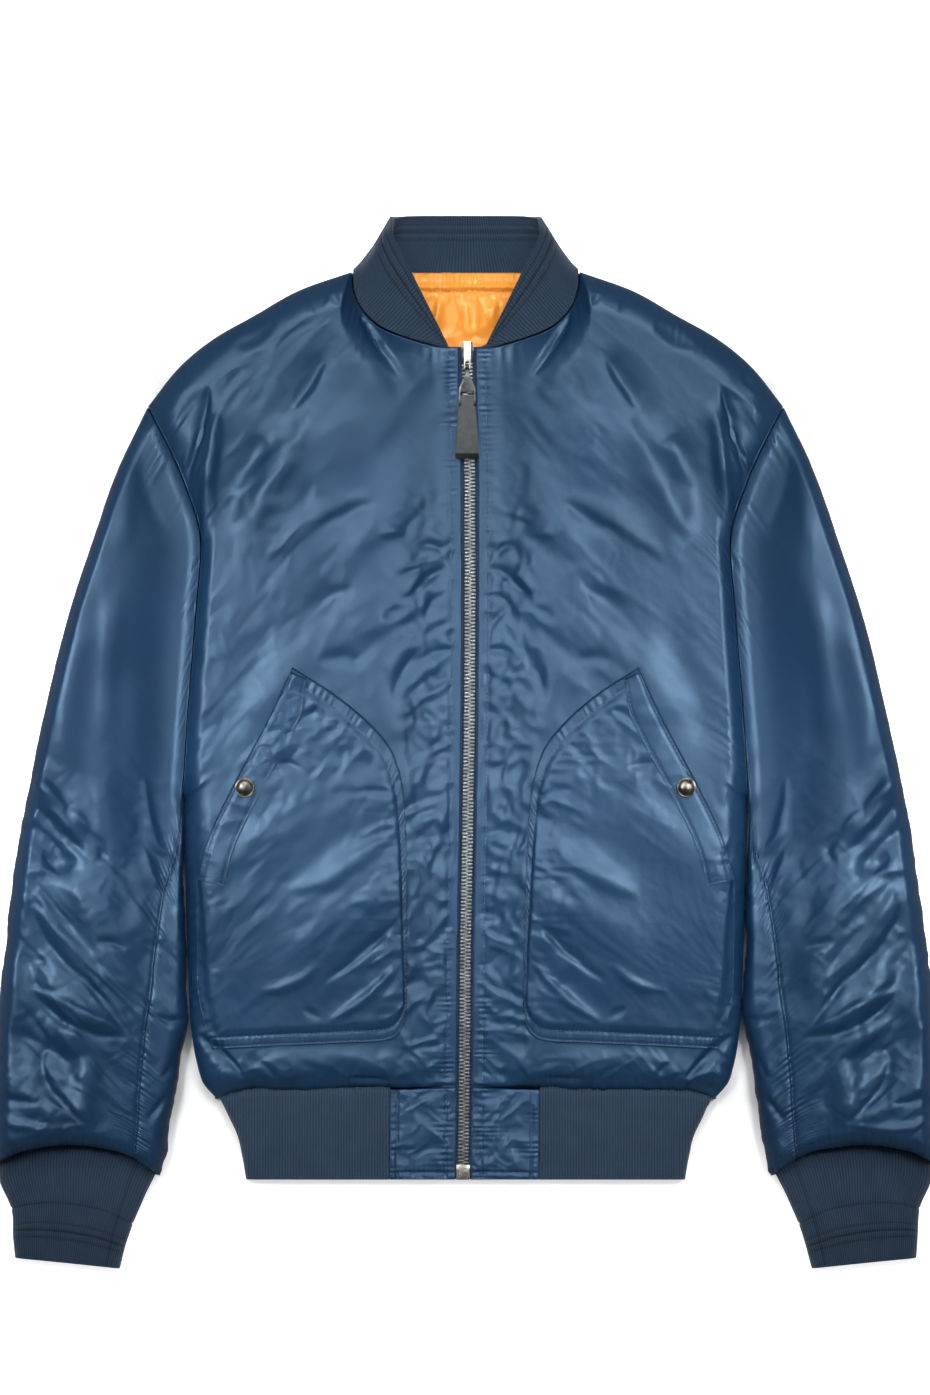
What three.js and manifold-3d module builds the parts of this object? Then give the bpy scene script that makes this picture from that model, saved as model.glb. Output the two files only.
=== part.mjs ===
// A nylon flight jacket laid flat on its back, face up, zip closed, collar towards +Y, in millimetres.
// Every cloth piece is a wall: an outer surface on a grid, and an inner one set in along its normals.
// The right half is worked out for x >= 0 and mirrored: a half point's x is its distance from the middle.
import * as THREE from 'three';
import { mergeVertices } from 'three/addons/utils/BufferGeometryUtils.js';
import Module from 'manifold-3d';

const wasm = await Module();
wasm.setup();

// Driving sizes
const wallOf = { shell: 3, knit: 3.5, endPanel: 2.2, patch: 1.5, lining: 1.2, tape: 0.9 };
const seamGap = 0.3;
const rise = { body: 36, sleeve: 42, fold: 12, armhole: 26, neck: 20, knit: 15, collar: 24 };
const roll = {
  side: 26, shoulder: 30, neck: 20, hem: 20, armhole: 34, under: 12, middle: 50, sleeve: 34, cuff: 24,
};
const hemBottom = -328;
const frontEdge = 6; // from the middle of the zip to the folded edge of each front
const snapAt = { x: 165.2, y: -33.5, radius: 7.3, height: 3.2 };
const sideNames = [['right', -1], ['left', 1]];

const colours = {
  satin: [0x35506f, 0.42, 0],
  knit: [0x333f54, 0.9, 0],
  orange: [0xf59a45, 0.45, 0],
  tape: [0x3d4f6d, 0.85, 0],
  nickel: [0xb9b7aa, 0.3, 1],
  gunmetal: [0x55554f, 0.4, 1],
  leather: [0x484842, 0.6, 0],
};

// Curves and profiles

// A smooth curve through points [x, y], walked by its share of the chord length.
function through(points) {
  const at = [0];
  for (let k = 1; k < points.length; k++) {
    at.push(at[k - 1] + Math.hypot(points[k][0] - points[k - 1][0], points[k][1] - points[k - 1][1]));
  }
  const length = at[at.length - 1];
  const slope = (k, axis) => {
    const a = Math.max(k - 1, 0);
    const b = Math.min(k + 1, points.length - 1);
    return (points[b][axis] - points[a][axis]) / (at[b] - at[a]);
  };
  const curve = (share) => {
    const walked = Math.min(Math.max(share, 0), 1) * length;
    let k = 0;
    while (k < points.length - 2 && walked > at[k + 1]) k++;
    const step = at[k + 1] - at[k];
    const s = (walked - at[k]) / step;
    return [0, 1].map((axis) => {
      const [p, q] = [points[k][axis], points[k + 1][axis]];
      const [m, n] = [slope(k, axis) * step, slope(k + 1, axis) * step];
      return p + s * (m + s * (3 * (q - p) - 2 * m - n + s * (2 * (p - q) + m + n)));
    });
  };
  curve.span = length;
  return curve;
}

// One curve after another, with the share of the whole at which the second starts.
function joined(first, second) {
  const turn = first.span / (first.span + second.span);
  const curve = (share) => (share < turn ? first(share / turn) : second((share - turn) / (1 - turn)));
  return Object.assign(curve, { turn, span: first.span + second.span });
}

const mix = (a, b, t) => a + (b - a) * t;
const clamp01 = (t) => Math.min(Math.max(t, 0), 1);
const smooth = (t) => clamp01(t) ** 2 * (3 - 2 * clamp01(t));
// A quarter round: 0 with an upright tangent at an edge, 1 from one radius inside it.
const quarter = (distance, radius) => Math.sqrt(1 - (1 - clamp01(distance / radius)) ** 2);
// Steps that crowd towards both ends, where the cloth turns over.
const crowded = (t, how = 0.8) => t - (how * Math.sin(2 * Math.PI * t)) / (2 * Math.PI);
// Steps that crowd towards the end.
const crowdedLate = (t) => 1 - (1 - t) ** 1.7;

// A surface stretched between four curves that meet at their corners.
function patch(top, bottom, start, end) {
  const [a, b, c, d] = [top(0), top(1), bottom(0), bottom(1)];
  return (u, v) => {
    const [t, m, s, e] = [top(u), bottom(u), start(v), end(v)];
    return [0, 1].map(
      (k) =>
        mix(t[k], m[k], v) + mix(s[k], e[k], u) - mix(mix(a[k], b[k], u), mix(c[k], d[k], u), v),
    );
  };
}

// A table's value at a place, straight between its rows.
function along(rows, place) {
  const k = Math.max(1, rows.findIndex((row) => row[0] >= place));
  const [a, b] = [rows[k - 1], rows[k]];
  return mix(a[1], b[1], clamp01((place - a[0]) / (b[0] - a[0])));
}

// Outlines of the right half, as [x, y]
const neckPoint = [85.5, 353.5];
const shoulderPoint = [238.5, 252.2];
const armpit = [211.9, -43.3];
const hemCorner = [186.8, -267.9];
const collarCorner = [56.6, 394.8];

const neckSeam = through([
  [frontEdge, 296.6], [22, 296.8], [49, 304.5], [66, 312], [79, 325], [85, 340], neckPoint,
]);
const shoulderLine = through([
  neckPoint, [126, 339], [158.5, 320.6], [190, 302.5], [215, 281.6], shoulderPoint,
]);
const armholeLine = through([
  shoulderPoint, [224.6, 226.7], [211, 196.7], [198.5, 156], [201.2, 103], [208, 20], armpit,
]);
const sideLine = through([armpit, [211, -88], [208, -180], [206.5, -212], [198.4, -253], hemCorner]);
const hemSeam = through([[frontEdge, -258.5], [56.3, -260], [113.6, -261.3], [165.4, -262], hemCorner]);
const sleeveOutside = through([
  shoulderPoint, [261, 205], [276, 163], [299.2, 91.8], [320, 4.5], [334.6, -71.8], [345, -150],
  [353, -230], [353.6, -317],
]);
const sleeveInside = through([
  [armpit[0] + 0.9, armpit[1]], [212.2, -88], [209.4, -180], [208.6, -207], [214.5, -236],
  [224.6, -307], [229.5, -325.4],
]);
const cuffSeam = through([
  [353.6, -317], [332.9, -307], [300.4, -302], [262, -306.4], [248, -313.4], [229.5, -325.4],
]);

// Heights of the outer surface

// How far the zip wanders sideways, and how high the front edges stand, from the hem to the neck.
const zipDrift = [
  [-330, -1.9], [-270, -1.1], [-150, 0], [-70, 1.5], [30, 3], [110, 3.4], [200, 3.2], [290, 1.1],
  [310, 1.1],
];
const zipRise = [
  [-330, 14.5], [-266, 15], [-200, 20.5], [-60, 25], [80, 24], [190, 20.4], [230, 20], [310, 20],
];
const zipX = (y) => along(zipDrift, y);
const zipZ = (y) => along(zipRise, y);

// Along the armhole, from the shoulder (0) to the armpit (1), on the face and on the ground side.
const armholeFace = (t) => rise.fold + (rise.armhole - rise.fold) * quarter(t, 0.1) * quarter(1 - t, 0.08);
const armholeGround = (t) => rise.fold * (1 - quarter(t, 0.05) * quarter(1 - t, 0.05));
// The side fold's middle height, which falls to the knit's at the hem.
const sideFold = (y) => mix(rise.knit / 2, rise.fold, smooth((y - hemCorner[1]) / 45));

// The largest folds: from (x, y) to (x, y), how far the middle bows sideways, half width,
// and rise (below 0, a trough).
const bodyFolds = [
  // x0, y0, x1, y1, bow, width, rise
  [185, 250, 196, 196, 0, 7, 5],
  [200, 262, 214, 215, 2, 9, -3.5],
  [106, 292, 134, 236, 6, 10, -4],
  [80, 300, 48, 262, -3, 8, -4],
  [146, 232, 176, 160, 5, 16, -5],
  [118, 240, 158, 150, 8, 18, 4.5],
  [88, 250, 120, 190, 0, 14, 2.5],
  [40, 232, 96, 150, 10, 15, -3.5],
  [30, 190, 100, 110, 8, 12, 3.5],
  [60, 150, 130, 70, 8, 14, -3.5],
  [24, 130, 70, 82, -6, 8, 3],
  [26, 96, 84, 60, 6, 8, -3],
  [110, 96, 168, 20, -8, 18, 3.5],
  [150, 90, 188, 0, -4, 14, -3],
  [20, 40, 60, 8, 4, 7, 2.5],
  [46, -60, 150, -120, 10, 16, -3],
  [50, -110, 140, -175, 8, 16, 3.2],
  [52, -170, 110, -205, 5, 10, -2.5],
  [120, -40, 190, -90, -6, 14, 2.5],
  [70, -236, 150, -240, 0, 7, 2.5],
];
const sleeveFolds = [
  [232, 196, 238, 60, 8, 20, -8],
  [238, 60, 232, -80, -6, 18, -8],
  [222, 150, 218, -30, 4, 9, 4],
  [246, 226, 256, 150, 0, 8, 3],
  [282, 90, 300, -20, 6, 14, 3],
  [320, -20, 290, -70, 4, 8, 4],
  [332, -60, 296, -96, -3, 8, -4],
  [228, -60, 240, -150, 6, 9, 4],
  [300, -100, 252, -190, -8, 15, 5],
  [340, -130, 300, -210, 5, 12, -4],
  [318, -170, 262, -214, 6, 10, 4],
  [336, -214, 284, -240, 3, 9, -4.5],
  [300, -196, 286, -290, -6, 10, 4],
  [345, -250, 296, -282, 4, 10, 3.5],
  [222, -216, 236, -290, -2, 6, -3],
];

function foldsAt(table, x, y) {
  let sum = 0;
  for (const [x0, y0, x1, y1, bow, width, height] of table) {
    const [dx, dy] = [x1 - x0, y1 - y0];
    const length = Math.hypot(dx, dy);
    const s = ((x - x0) * dx + (y - y0) * dy) / length ** 2;
    const across = ((x - x0) * -dy + (y - y0) * dx) / length - 4 * bow * clamp01(s) * (1 - clamp01(s));
    const ends = smooth((s + 0.15) / 0.35) * smooth((1.15 - s) / 0.35);
    sum += height * ends * Math.exp(-((across / width) ** 2));
  }
  return sum;
}

// Pulls a height down to an edge's own height, within a radius of that edge.
const rollTo = (z, edgeZ, distance, radius) => mix(edgeZ, z, quarter(distance, radius));

// The wall itself

// Outer points at(u, v) on a grid; the inner ones lie thick inside them.
// Ring walls close on themselves in u.
function wall({ cols, rows, at, thick, flip = false, ring = false, groundSide = false }) {
  const across = ring ? cols : cols + 1;
  const step = 1e-3;
  const place = (u, v) => new THREE.Vector3(...at(ring ? ((u % 1) + 1) % 1 : clamp01(u), clamp01(v)));
  const points = { outer: [], inner: [] };
  for (let j = 0; j <= rows; j++) {
    for (let i = 0; i < across; i++) {
      const [u, v] = [i / cols, j / rows];
      const p = place(u, v);
      const alongU = place(u + step, v).sub(place(u - step, v));
      const alongV = place(u, v + step).sub(place(u, v - step));
      const normal = alongU.cross(alongV).normalize();
      if (flip) normal.negate();
      if (groundSide && p.z < 0.02) normal.set(0, 0, -1);
      points.outer.push(p);
      points.inner.push(p.clone().addScaledVector(normal, -thick));
    }
  }
  const all = [...points.outer, ...points.inner];
  const faces = [];
  const under = points.outer.length;
  const quad = (a, b, c, d) => faces.push(a, b, c, a, c, d);
  for (let j = 0; j < rows; j++) {
    for (let i = 0; i < cols; i++) {
      const next = (i + 1) % across;
      const [a, b] = [j * across + i, j * across + next];
      quad(a, b, b + across, a + across);
      quad(under + a + across, under + b + across, under + b, under + a);
      if (j === 0) quad(b, a, under + a, under + b);
      if (j === rows - 1) quad(a + across, b + across, under + b + across, under + a + across);
    }
    if (ring) continue;
    const [a, b] = [j * across, j * across + cols];
    quad(a, a + across, under + a + across, under + a);
    quad(b + across, b, under + b, under + b + across);
  }
  if (flip) for (let k = 0; k < faces.length; k += 3) [faces[k], faces[k + 1]] = [faces[k + 1], faces[k]];
  const geometry = new THREE.BufferGeometry();
  const numbers = all.flatMap((p) => [p.x, p.y, p.z]);
  geometry.setAttribute('position', new THREE.Float32BufferAttribute(numbers, 3));
  geometry.setIndex(faces);
  geometry.computeVertexNormals();
  return Object.assign(geometry, { grid: { points: points.outer, cols, rows } });
}

// A half's point on its own side of the jacket; close to the zip it follows the zip's wander.
function onSide(side, [x, y, z]) {
  const near = smooth((110 - x) / 100);
  return [side * x + zipX(y) * near, y, z];
}

const jacket = new THREE.Group();

function add(name, geometry, finish, parent = jacket) {
  const [color, roughness, metalness] = colours[finish];
  const mesh = new THREE.Mesh(geometry, new THREE.MeshStandardMaterial({ color, roughness, metalness }));
  mesh.name = name;
  parent.add(mesh);
  return mesh;
}

// Fronts

const frontTop = joined(neckSeam, shoulderLine);
const frontSide = joined(armholeLine, sideLine);
const frontMiddle = (v) => [frontEdge, mix(296.6, -258.5, v)];
const stretched = patch(frontTop, hemSeam, frontMiddle, frontSide);

// Rows fan outwards below the neck point, where the neck seam runs almost straight down.
function frontPlan(u, v) {
  const [x, y] = stretched(u, v);
  const near = u < frontTop.turn ? u / frontTop.turn : (1 - u) / (1 - frontTop.turn);
  return [x + 26 * near * (1 - (1 - v) ** 14) * (1 - v), y];
}

function frontHeight(u, v, [x, y]) {
  const end = frontSide(v);
  const across = end[0] - frontEdge;
  const down = frontTop(u)[1] - hemSeam(u)[1];
  let z = rise.body + foldsAt(bodyFolds, x, y);
  z = mix(zipZ(y), z, smooth((u * across) / roll.middle));
  const ribFace = rise.knit / 2 + (rise.knit / 2) * quarter((1 - u) * hemSeam.span, rise.knit / 2);
  z = rollTo(z, ribFace, (1 - v) * down, roll.hem);
  const onNeck = u < frontTop.turn;
  const fromNeckPoint = (frontTop.turn - u) * frontTop.span;
  const topZ = onNeck ? rise.fold + (rise.neck - rise.fold) * quarter(fromNeckPoint, 14) : rise.fold;
  z = rollTo(z, topZ, v * down, onNeck ? roll.neck : roll.shoulder);
  const onArmhole = v < frontSide.turn;
  const edgeZ = onArmhole ? armholeFace(v / frontSide.turn) : sideFold(y);
  return rollTo(z, edgeZ, (1 - u) * across, onArmhole ? roll.armhole : roll.side);
}

// Puts a grid line on a corner of an edge: a share of the grid reaches the corner,
// and the rest goes on from it.
const cornered = (t, share, corner) =>
  (t < share ? (corner * t) / share : corner + (1 - corner) * crowdedLate((t - share) / (1 - share)));

function frontAt(u, v) {
  const inside = seamGap / 2 / hemSeam.span;
  const [uu, vv] = [(1 - inside) * cornered(u, 1 / 3, frontTop.turn), mix(0.0003, 0.9997, crowded(v, 0.7))];
  const [x, y] = frontPlan(uu, vv);
  return [x, y, frontHeight(uu, vv, [x, y]) + seamGap / 2];
}

const frontGrid = { cols: 15, rows: 25 };
const fronts = {};
for (const [name, side] of sideNames) {
  fronts[name] = wall({
    ...frontGrid,
    at: (u, v) => onSide(side, frontAt(u, v)),
    thick: wallOf.shell,
    flip: side > 0,
  });
  add(`front_${name}`, fronts[name], 'satin');
}

// Back, whose outside lies on the ground

const neckShare = 0.3;

function backTop(u) {
  const half = 2 * Math.abs(u - 0.5);
  const sign = Math.sign(u - 0.5);
  if (half < neckShare) {
    const t = half / neckShare;
    return [sign * neckPoint[0] * t, mix(351, neckPoint[1], t ** 4)];
  }
  const [x, y] = shoulderLine((half - neckShare) / (1 - neckShare));
  return [sign * x, y];
}
const backHem = (u) => [
  mix(-hemCorner[0], hemCorner[0], u), mix(-262.5, hemCorner[1], (2 * (u - 0.5)) ** 8),
];
const backPlan = patch(backTop, backHem, (v) => [-frontSide(v)[0], frontSide(v)[1]], frontSide);

function backAt(u, v) {
  const spread = 2 * u - 1;
  const uu = 0.5 + 0.4996 * Math.sign(spread) * cornered(Math.abs(spread), 3 / 8, neckShare);
  const vv = mix(0.0004, 0.9965, crowded(v, 0.7));
  const [x, y] = backPlan(uu, vv);
  const half = 2 * Math.abs(uu - 0.5);
  const fromSide = (1 - half) * Math.abs(frontSide(vv)[0]);
  const onArmhole = vv < frontSide.turn;
  const sideZ = onArmhole ? armholeGround(vv / frontSide.turn) : sideFold(y);
  const topZ = rise.fold * quarter(half - 0.22, 0.08);
  const fromTop = vv * (backTop(uu)[1] - backHem(uu)[1]);
  const hemZ = (rise.knit / 2) * (1 - quarter((1 - half) * hemCorner[0], rise.knit / 2));
  const fromHem = (1 - vv) * (backTop(uu)[1] - backHem(uu)[1]);
  let z = rollTo(0, topZ, fromTop, roll.under);
  z = rollTo(z, hemZ, fromHem, roll.under);
  z = rollTo(z, sideZ, fromSide, roll.under);
  return [x, y, Math.max(0, z - seamGap / 2)];
}
add('back', wall({ cols: 16, rows: 20, at: backAt, thick: wallOf.shell, groundSide: true }), 'satin');

// Sleeves: rings from the armhole to the cuff seam, in an outer and an under piece

// Rows of the plan run from the outer fold to the inner one; the armhole's own curve
// fades out within a few rows.
function sleevePlan(t, v) {
  const [a, b] = [sleeveOutside(v), sleeveInside(v)];
  const bend = (curve, axis) => curve(t)[axis] - mix(curve(0)[axis], curve(1)[axis], t);
  return [0, 1].map(
    (k) => mix(a[k], b[k], t) + (1 - v) ** 6 * bend(armholeLine, k) + v ** 4 * bend(cuffSeam, k),
  );
}
// Where the seam between the two pieces lies, as a share from the outer fold to the inner one.
const seamOnFace = [[0, 0.975], [0.15, 0.95], [0.35, 0.84], [0.55, 0.79], [1, 0.825]];
const seamOnGround = [[0, 0.94], [0.3, 0.8], [1, 0.76]];

function sleeveAt(onFace, t, v) {
  const vv = mix(0.002, 0.9994, v);
  const [x, y] = sleevePlan(t, vv);
  const [a, b] = [sleeveOutside(vv), sleeveInside(vv)];
  const across = Math.hypot(b[0] - a[0], b[1] - a[1]);
  const [fromOutside, fromInside] = [t * across, (1 - t) * across];
  const fromArmhole = vv * mix(sleeveOutside.span, sleeveInside.span, t);
  const fromCuff = (1 - vv) * mix(sleeveOutside.span, sleeveInside.span, t);
  const knitFold = rise.knit / 2;
  const fold = mix(knitFold, rise.fold, smooth(fromCuff / 60));
  if (onFace) {
    const top = rise.sleeve + foldsAt(sleeveFolds, x, y);
    let z = fold + (top - fold) * quarter(fromOutside, roll.sleeve) * quarter(fromInside, roll.sleeve);
    const cuffZ = knitFold + knitFold * quarter(fromOutside, 8) * quarter(fromInside, 8);
    z = rollTo(z, cuffZ, fromCuff, roll.cuff);
    return [x, y, rollTo(z, armholeFace(t), fromArmhole, roll.armhole)];
  }
  const z = fold * (1 - quarter(fromOutside, roll.under) * quarter(fromInside, roll.under));
  const cuffZ = knitFold * (1 - quarter(fromOutside, 8) * quarter(fromInside, 8));
  const atCuff = rollTo(z, cuffZ, fromCuff, 8);
  return [x, y, Math.max(0, rollTo(atCuff, armholeGround(t), fromArmhole, roll.under))];
}

// Shares a piece's columns between the face and the ground side, crowding them at the fold between the two.
const faceShare = 0.6;

function outerSleeveAt(u, v) {
  const row = crowded(v, 0.5);
  const gap = 0.0016;
  if (u < faceShare) {
    return sleeveAt(true, (along(seamOnFace, row) - gap) * (1 - crowdedLate(u / faceShare)), row);
  }
  const t = ((u - faceShare) / (1 - faceShare)) ** 1.7;
  return sleeveAt(false, t * (along(seamOnGround, row) - gap), row);
}

function underSleeveAt(u, v) {
  const row = crowded(v, 0.5);
  const gap = 0.0016;
  const toFold = (seam) => (share) => 1 - (1 - seam - gap) * share;
  if (u < faceShare) return sleeveAt(true, toFold(along(seamOnFace, row))((1 - u / faceShare) ** 1.7), row);
  return sleeveAt(false, toFold(along(seamOnGround, row))(((u - faceShare) / (1 - faceShare)) ** 1.7), row);
}

for (const [name, side] of sideNames) {
  const common = { thick: wallOf.shell, groundSide: true };
  add(`sleeve_outer_${name}`, wall({
    ...common, cols: 21, rows: 17, flip: side > 0, at: (u, v) => onSide(side, outerSleeveAt(u, v)),
  }), 'satin');
  add(`sleeve_under_${name}`, wall({
    ...common, cols: 8, rows: 17, flip: side < 0, at: (u, v) => onSide(side, underSleeveAt(u, v)),
  }), 'satin');
}

// Knit cuffs: flat closed rings

const cuffGap = 1.5;
const cuffTop = (t) => [cuffSeam(t)[0], cuffSeam(t)[1] - cuffGap];
const cuffBottom = through([[338.6, -386.8], [299, -390.7], [260, -394.75]]);
const cuffOutside = through([
  [353.6, -317 - cuffGap], [349.5, -330], [341, -350.7], [339.6, -371.7], [338.6, -386.8],
]);
const cuffInside = through([[229.5, -325.4 - cuffGap], [243.4, -346], [251.6, -365.6], [260, -394.75]]);
const cuffPlan = patch(cuffTop, cuffBottom, cuffOutside, cuffInside);

function cuffAt(u, v) {
  const t = (1 - Math.cos(2 * Math.PI * u)) / 2;
  const [x, y] = cuffPlan(t, v);
  const [a, b] = [cuffOutside(v), cuffInside(v)];
  const across = Math.hypot(b[0] - a[0], b[1] - a[1]);
  const half = rise.knit / 2;
  const high = half * quarter(t * across, half) * quarter((1 - t) * across, half);
  return [x, y, u < 0.5 ? half + high : half - high];
}
for (const [name, side] of sideNames) {
  add(`cuff_${name}`, wall({
    cols: 20, rows: 3, ring: true, thick: wallOf.knit, flip: side < 0,
    at: (u, v) => onSide(side, cuffAt(u, v)),
  }), 'knit');
}

// Knit hem band, from one end panel round the back to the other

const endPanelWidth = 50;
const bandSide = through([
  [hemCorner[0], hemCorner[1] - seamGap], [178.3, -280], [171.1, -295], [167.5, -311],
  [165.2, hemBottom],
]);

function bandAt(u, v) {
  const side = bandSide(v)[0];
  const sign = Math.sign(u - 0.5) || 1;
  const half = 2 * Math.abs(u - 0.5); // 0 at the middle of the back, 1 at an end panel
  const turn = 0.56;
  const middle = rise.knit / 2;
  if (half < turn) {
    const x = side * (1 - (1 - half / turn) ** 1.7);
    const top = mix(-262.5, hemCorner[1], (x / side) ** 8) - seamGap;
    return [sign * x, mix(top, hemBottom, v), middle - middle * quarter(side - x, middle)];
  }
  const x = mix(side, endPanelWidth + frontEdge + seamGap, ((half - turn) / (1 - turn)) ** 1.7);
  const top = hemSeam((x - frontEdge) / (side - frontEdge))[1] - seamGap - 0.1;
  return onSide(sign, [x, mix(top, hemBottom, v), middle + middle * quarter(side - x, middle)]);
}
add('hem_band', wall({ cols: 40, rows: 3, at: bandAt, thick: wallOf.knit, groundSide: true }), 'knit');

for (const [name, side] of sideNames) {
  const at = (u, v) => {
    const x = mix(frontEdge, frontEdge + endPanelWidth, u);
    const top = hemSeam(u * endPanelWidth / hemSeam.span)[1] - seamGap - 0.1;
    const y = mix(top, hemBottom, v);
    return onSide(side, [x, y, mix(zipZ(y), rise.knit, smooth(u * 4))]);
  };
  add(`hem_panel_${name}`, wall({ cols: 5, rows: 5, at, thick: wallOf.endPanel, flip: side > 0 }), 'satin');
}

// Knit collar: its front ends lie on top and its back lies on the ground, folded at the two corners

const collarEdge = through([[13.9, 298.8], [40.9, 352], [54, 380], collarCorner]);
const collarSeam = through([
  [22, 299], [48, 306.8], [64.6, 314.8], [76.6, 327.4], [82.4, 341.5], [83.8, 355.6],
]);
const collarFold = through([[84.6, 355.6], [78, 362], [70.1, 373], collarCorner]);
const collarTurn = 0.5;

function collarAt(u, v) {
  const sign = Math.sign(u - 0.5) || 1;
  const half = 2 * Math.abs(u - 0.5); // 0 at the middle of the back, 1 at a front end
  const middle = rise.fold;
  if (half < collarTurn) {
    const t = 1 - (1 - half / collarTurn) ** 1.7;
    const [side, foldY] = collarFold(v);
    const y = mix(mix(351.4, collarCorner[1], v), foldY, t ** 4);
    return [sign * side * t, y, middle - middle * quarter((1 - t) * side, middle)];
  }
  const t = 1 - ((half - collarTurn) / (1 - collarTurn)) ** 1.7; // 1 at the fold, 0 at the front end
  const [a, b] = [collarSeam(t), collarEdge(t)];
  const fromFold = (1 - t) * mix(collarSeam.span, collarEdge.span, v);
  const face = mix(rise.neck, rise.collar, smooth(v * 1.4) * smooth(t * 2.5));
  const z = middle + (face - middle) * quarter(fromFold, middle);
  const bow = [0, 1].map((k) => t ** 3 * (collarFold(v)[k] - mix(collarSeam(1)[k], collarCorner[k], v)));
  return onSide(sign, [mix(a[0], b[0], v) + bow[0], mix(a[1], b[1], v) + bow[1], z]);
}
add('collar', wall({
  cols: 34, rows: 4, at: collarAt, thick: wallOf.knit, groundSide: true, flip: true,
}), 'knit');

// Lining of the back, where the neck shows it

function liningAt(u, v) {
  const x = mix(-56, 56, u);
  const y = mix(347.5, 262, v);
  const edgeFold = 1.6 * Math.exp(-(((y - 343) / 3.5) ** 2));
  const drapeFold = 2 * Math.exp(-(((x + 20 - (y - 300) * 0.3) / 8) ** 2)) * smooth((345 - y) / 20);
  return [x, y, wallOf.shell + seamGap + wallOf.lining + edgeFold + drapeFold];
}
add('back_lining', wall({ cols: 10, rows: 8, at: liningAt, thick: wallOf.lining, flip: true }), 'orange');

// Pockets: a stitched patch on each front, with a slanting welt and a snap

// The height of a grid's own facets over a place, or null outside them.
function heightOver({ points, cols, rows }, x, y) {
  const corner = (p, q, r) => (q.x - p.x) * (r.y - p.y) - (q.y - p.y) * (r.x - p.x);
  for (let j = 0; j < rows; j++) {
    for (let i = 0; i < cols; i++) {
      const a = j * (cols + 1) + i;
      const [p, q, r, s] = [a, a + 1, a + cols + 2, a + cols + 1].map((k) => points[k]);
      for (const [l, m, n] of [[p, q, r], [p, r, s]]) {
        const whole = corner(l, m, n);
        const here = { x, y };
        const [wl, wm] = [corner(here, m, n) / whole, corner(l, here, n) / whole];
        const wn = 1 - wl - wm;
        if (Math.min(wl, wm, wn) > -1e-9) return wl * l.z + wm * m.z + wn * n.z;
      }
    }
  }
  return null;
}

// The highest the panel stands within a small reach of a place.
function clearOver(grid, x, y, reach) {
  const steps = [[0, 0], [reach, 0], [-reach, 0], [0, reach], [0, -reach]];
  const heights = steps.map(([dx, dy]) => heightOver(grid, x + dx, y + dy));
  return Math.max(...heights.filter((z) => z !== null));
}

const pocketApex = [129.5, 56.5];
const pocketOpening = through([pocketApex, [146.5, 20], [174, -32], [192, -70], [201.5, -104]]);
const pocketInside = through([
  pocketApex, [97, 35.5], [69.5, 11.5], [55.5, -8], [47.6, -40], [44.5, -120], [44.2, -195],
]);
const pocketFoot = through([
  [44.2, -195], [46.5, -212], [56, -222], [90, -224.8], [140, -227], [190, -229.5],
]);
const pocketOutside = through([[201.5, -104], [201, -150], [200, -190], [190, -229.5]]);

function onPanel(side, grid, [x, y], lift) {
  const [px, py] = onSide(side, [x, y, 0]);
  return [px, py, clearOver(grid, px, py, 6) + lift];
}

const pocketPlan = patch(pocketOpening, pocketFoot, pocketInside, pocketOutside);
const weltWidth = 20.5;
const weltLine = (u) => pocketOpening(mix(0.02, 0.99, u));

function weltPlan(u, v) {
  const [x, y] = weltLine(u);
  const [x0, y0] = weltLine(Math.max(u - 0.02, 0));
  const [x1, y1] = weltLine(Math.min(u + 0.02, 1));
  const length = Math.hypot(x1 - x0, y1 - y0);
  const inwards = [(y1 - y0) / length, -(x1 - x0) / length];
  const reach = weltWidth * v * mix(0.65, 1, smooth(u * 6));
  return [x + inwards[0] * reach - 0.4, y + inwards[1] * reach];
}

const patchLift = 1 + wallOf.patch;
for (const [name, side] of sideNames) {
  const grid = fronts[name].grid;
  const pocket = wall({
    cols: 9, rows: 12, thick: wallOf.patch, flip: side > 0,
    at: (u, v) => onPanel(side, grid, pocketPlan(crowdedLate(u), v), patchLift),
  });
  add(`pocket_${name}`, pocket, 'satin');
  add(`pocket_welt_${name}`, wall({
    cols: 12, rows: 2, thick: wallOf.patch, flip: side > 0,
    at: (u, v) => onPanel(side, grid, weltPlan(u, v), 2 * patchLift - 0.2),
  }), 'satin');
  const [x, y, z] = onPanel(side, grid, [snapAt.x, snapAt.y], 2 * patchLift + 0.7);
  const dome = [[0, 0], [snapAt.radius, 0], [snapAt.radius, 0.9], [snapAt.radius - 0.7, 1.5]];
  for (const angle of [30, 60, 90]) {
    const a = THREE.MathUtils.degToRad(angle);
    dome.push([(snapAt.radius - 0.9) * Math.cos(a), 1.2 + (snapAt.height - 1.2) * Math.sin(a)]);
  }
  dome[dome.length - 1][0] = 0;
  const profile = dome.map((p) => new THREE.Vector2(...p));
  const snap = add(`snap_${name}`, new THREE.LatheGeometry(profile, 20), 'nickel');
  snap.rotation.x = Math.PI / 2;
  snap.position.set(x, y, z);
}

// Zip: two tapes under the front edges, a chain between them, and a slider at the top

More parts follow.
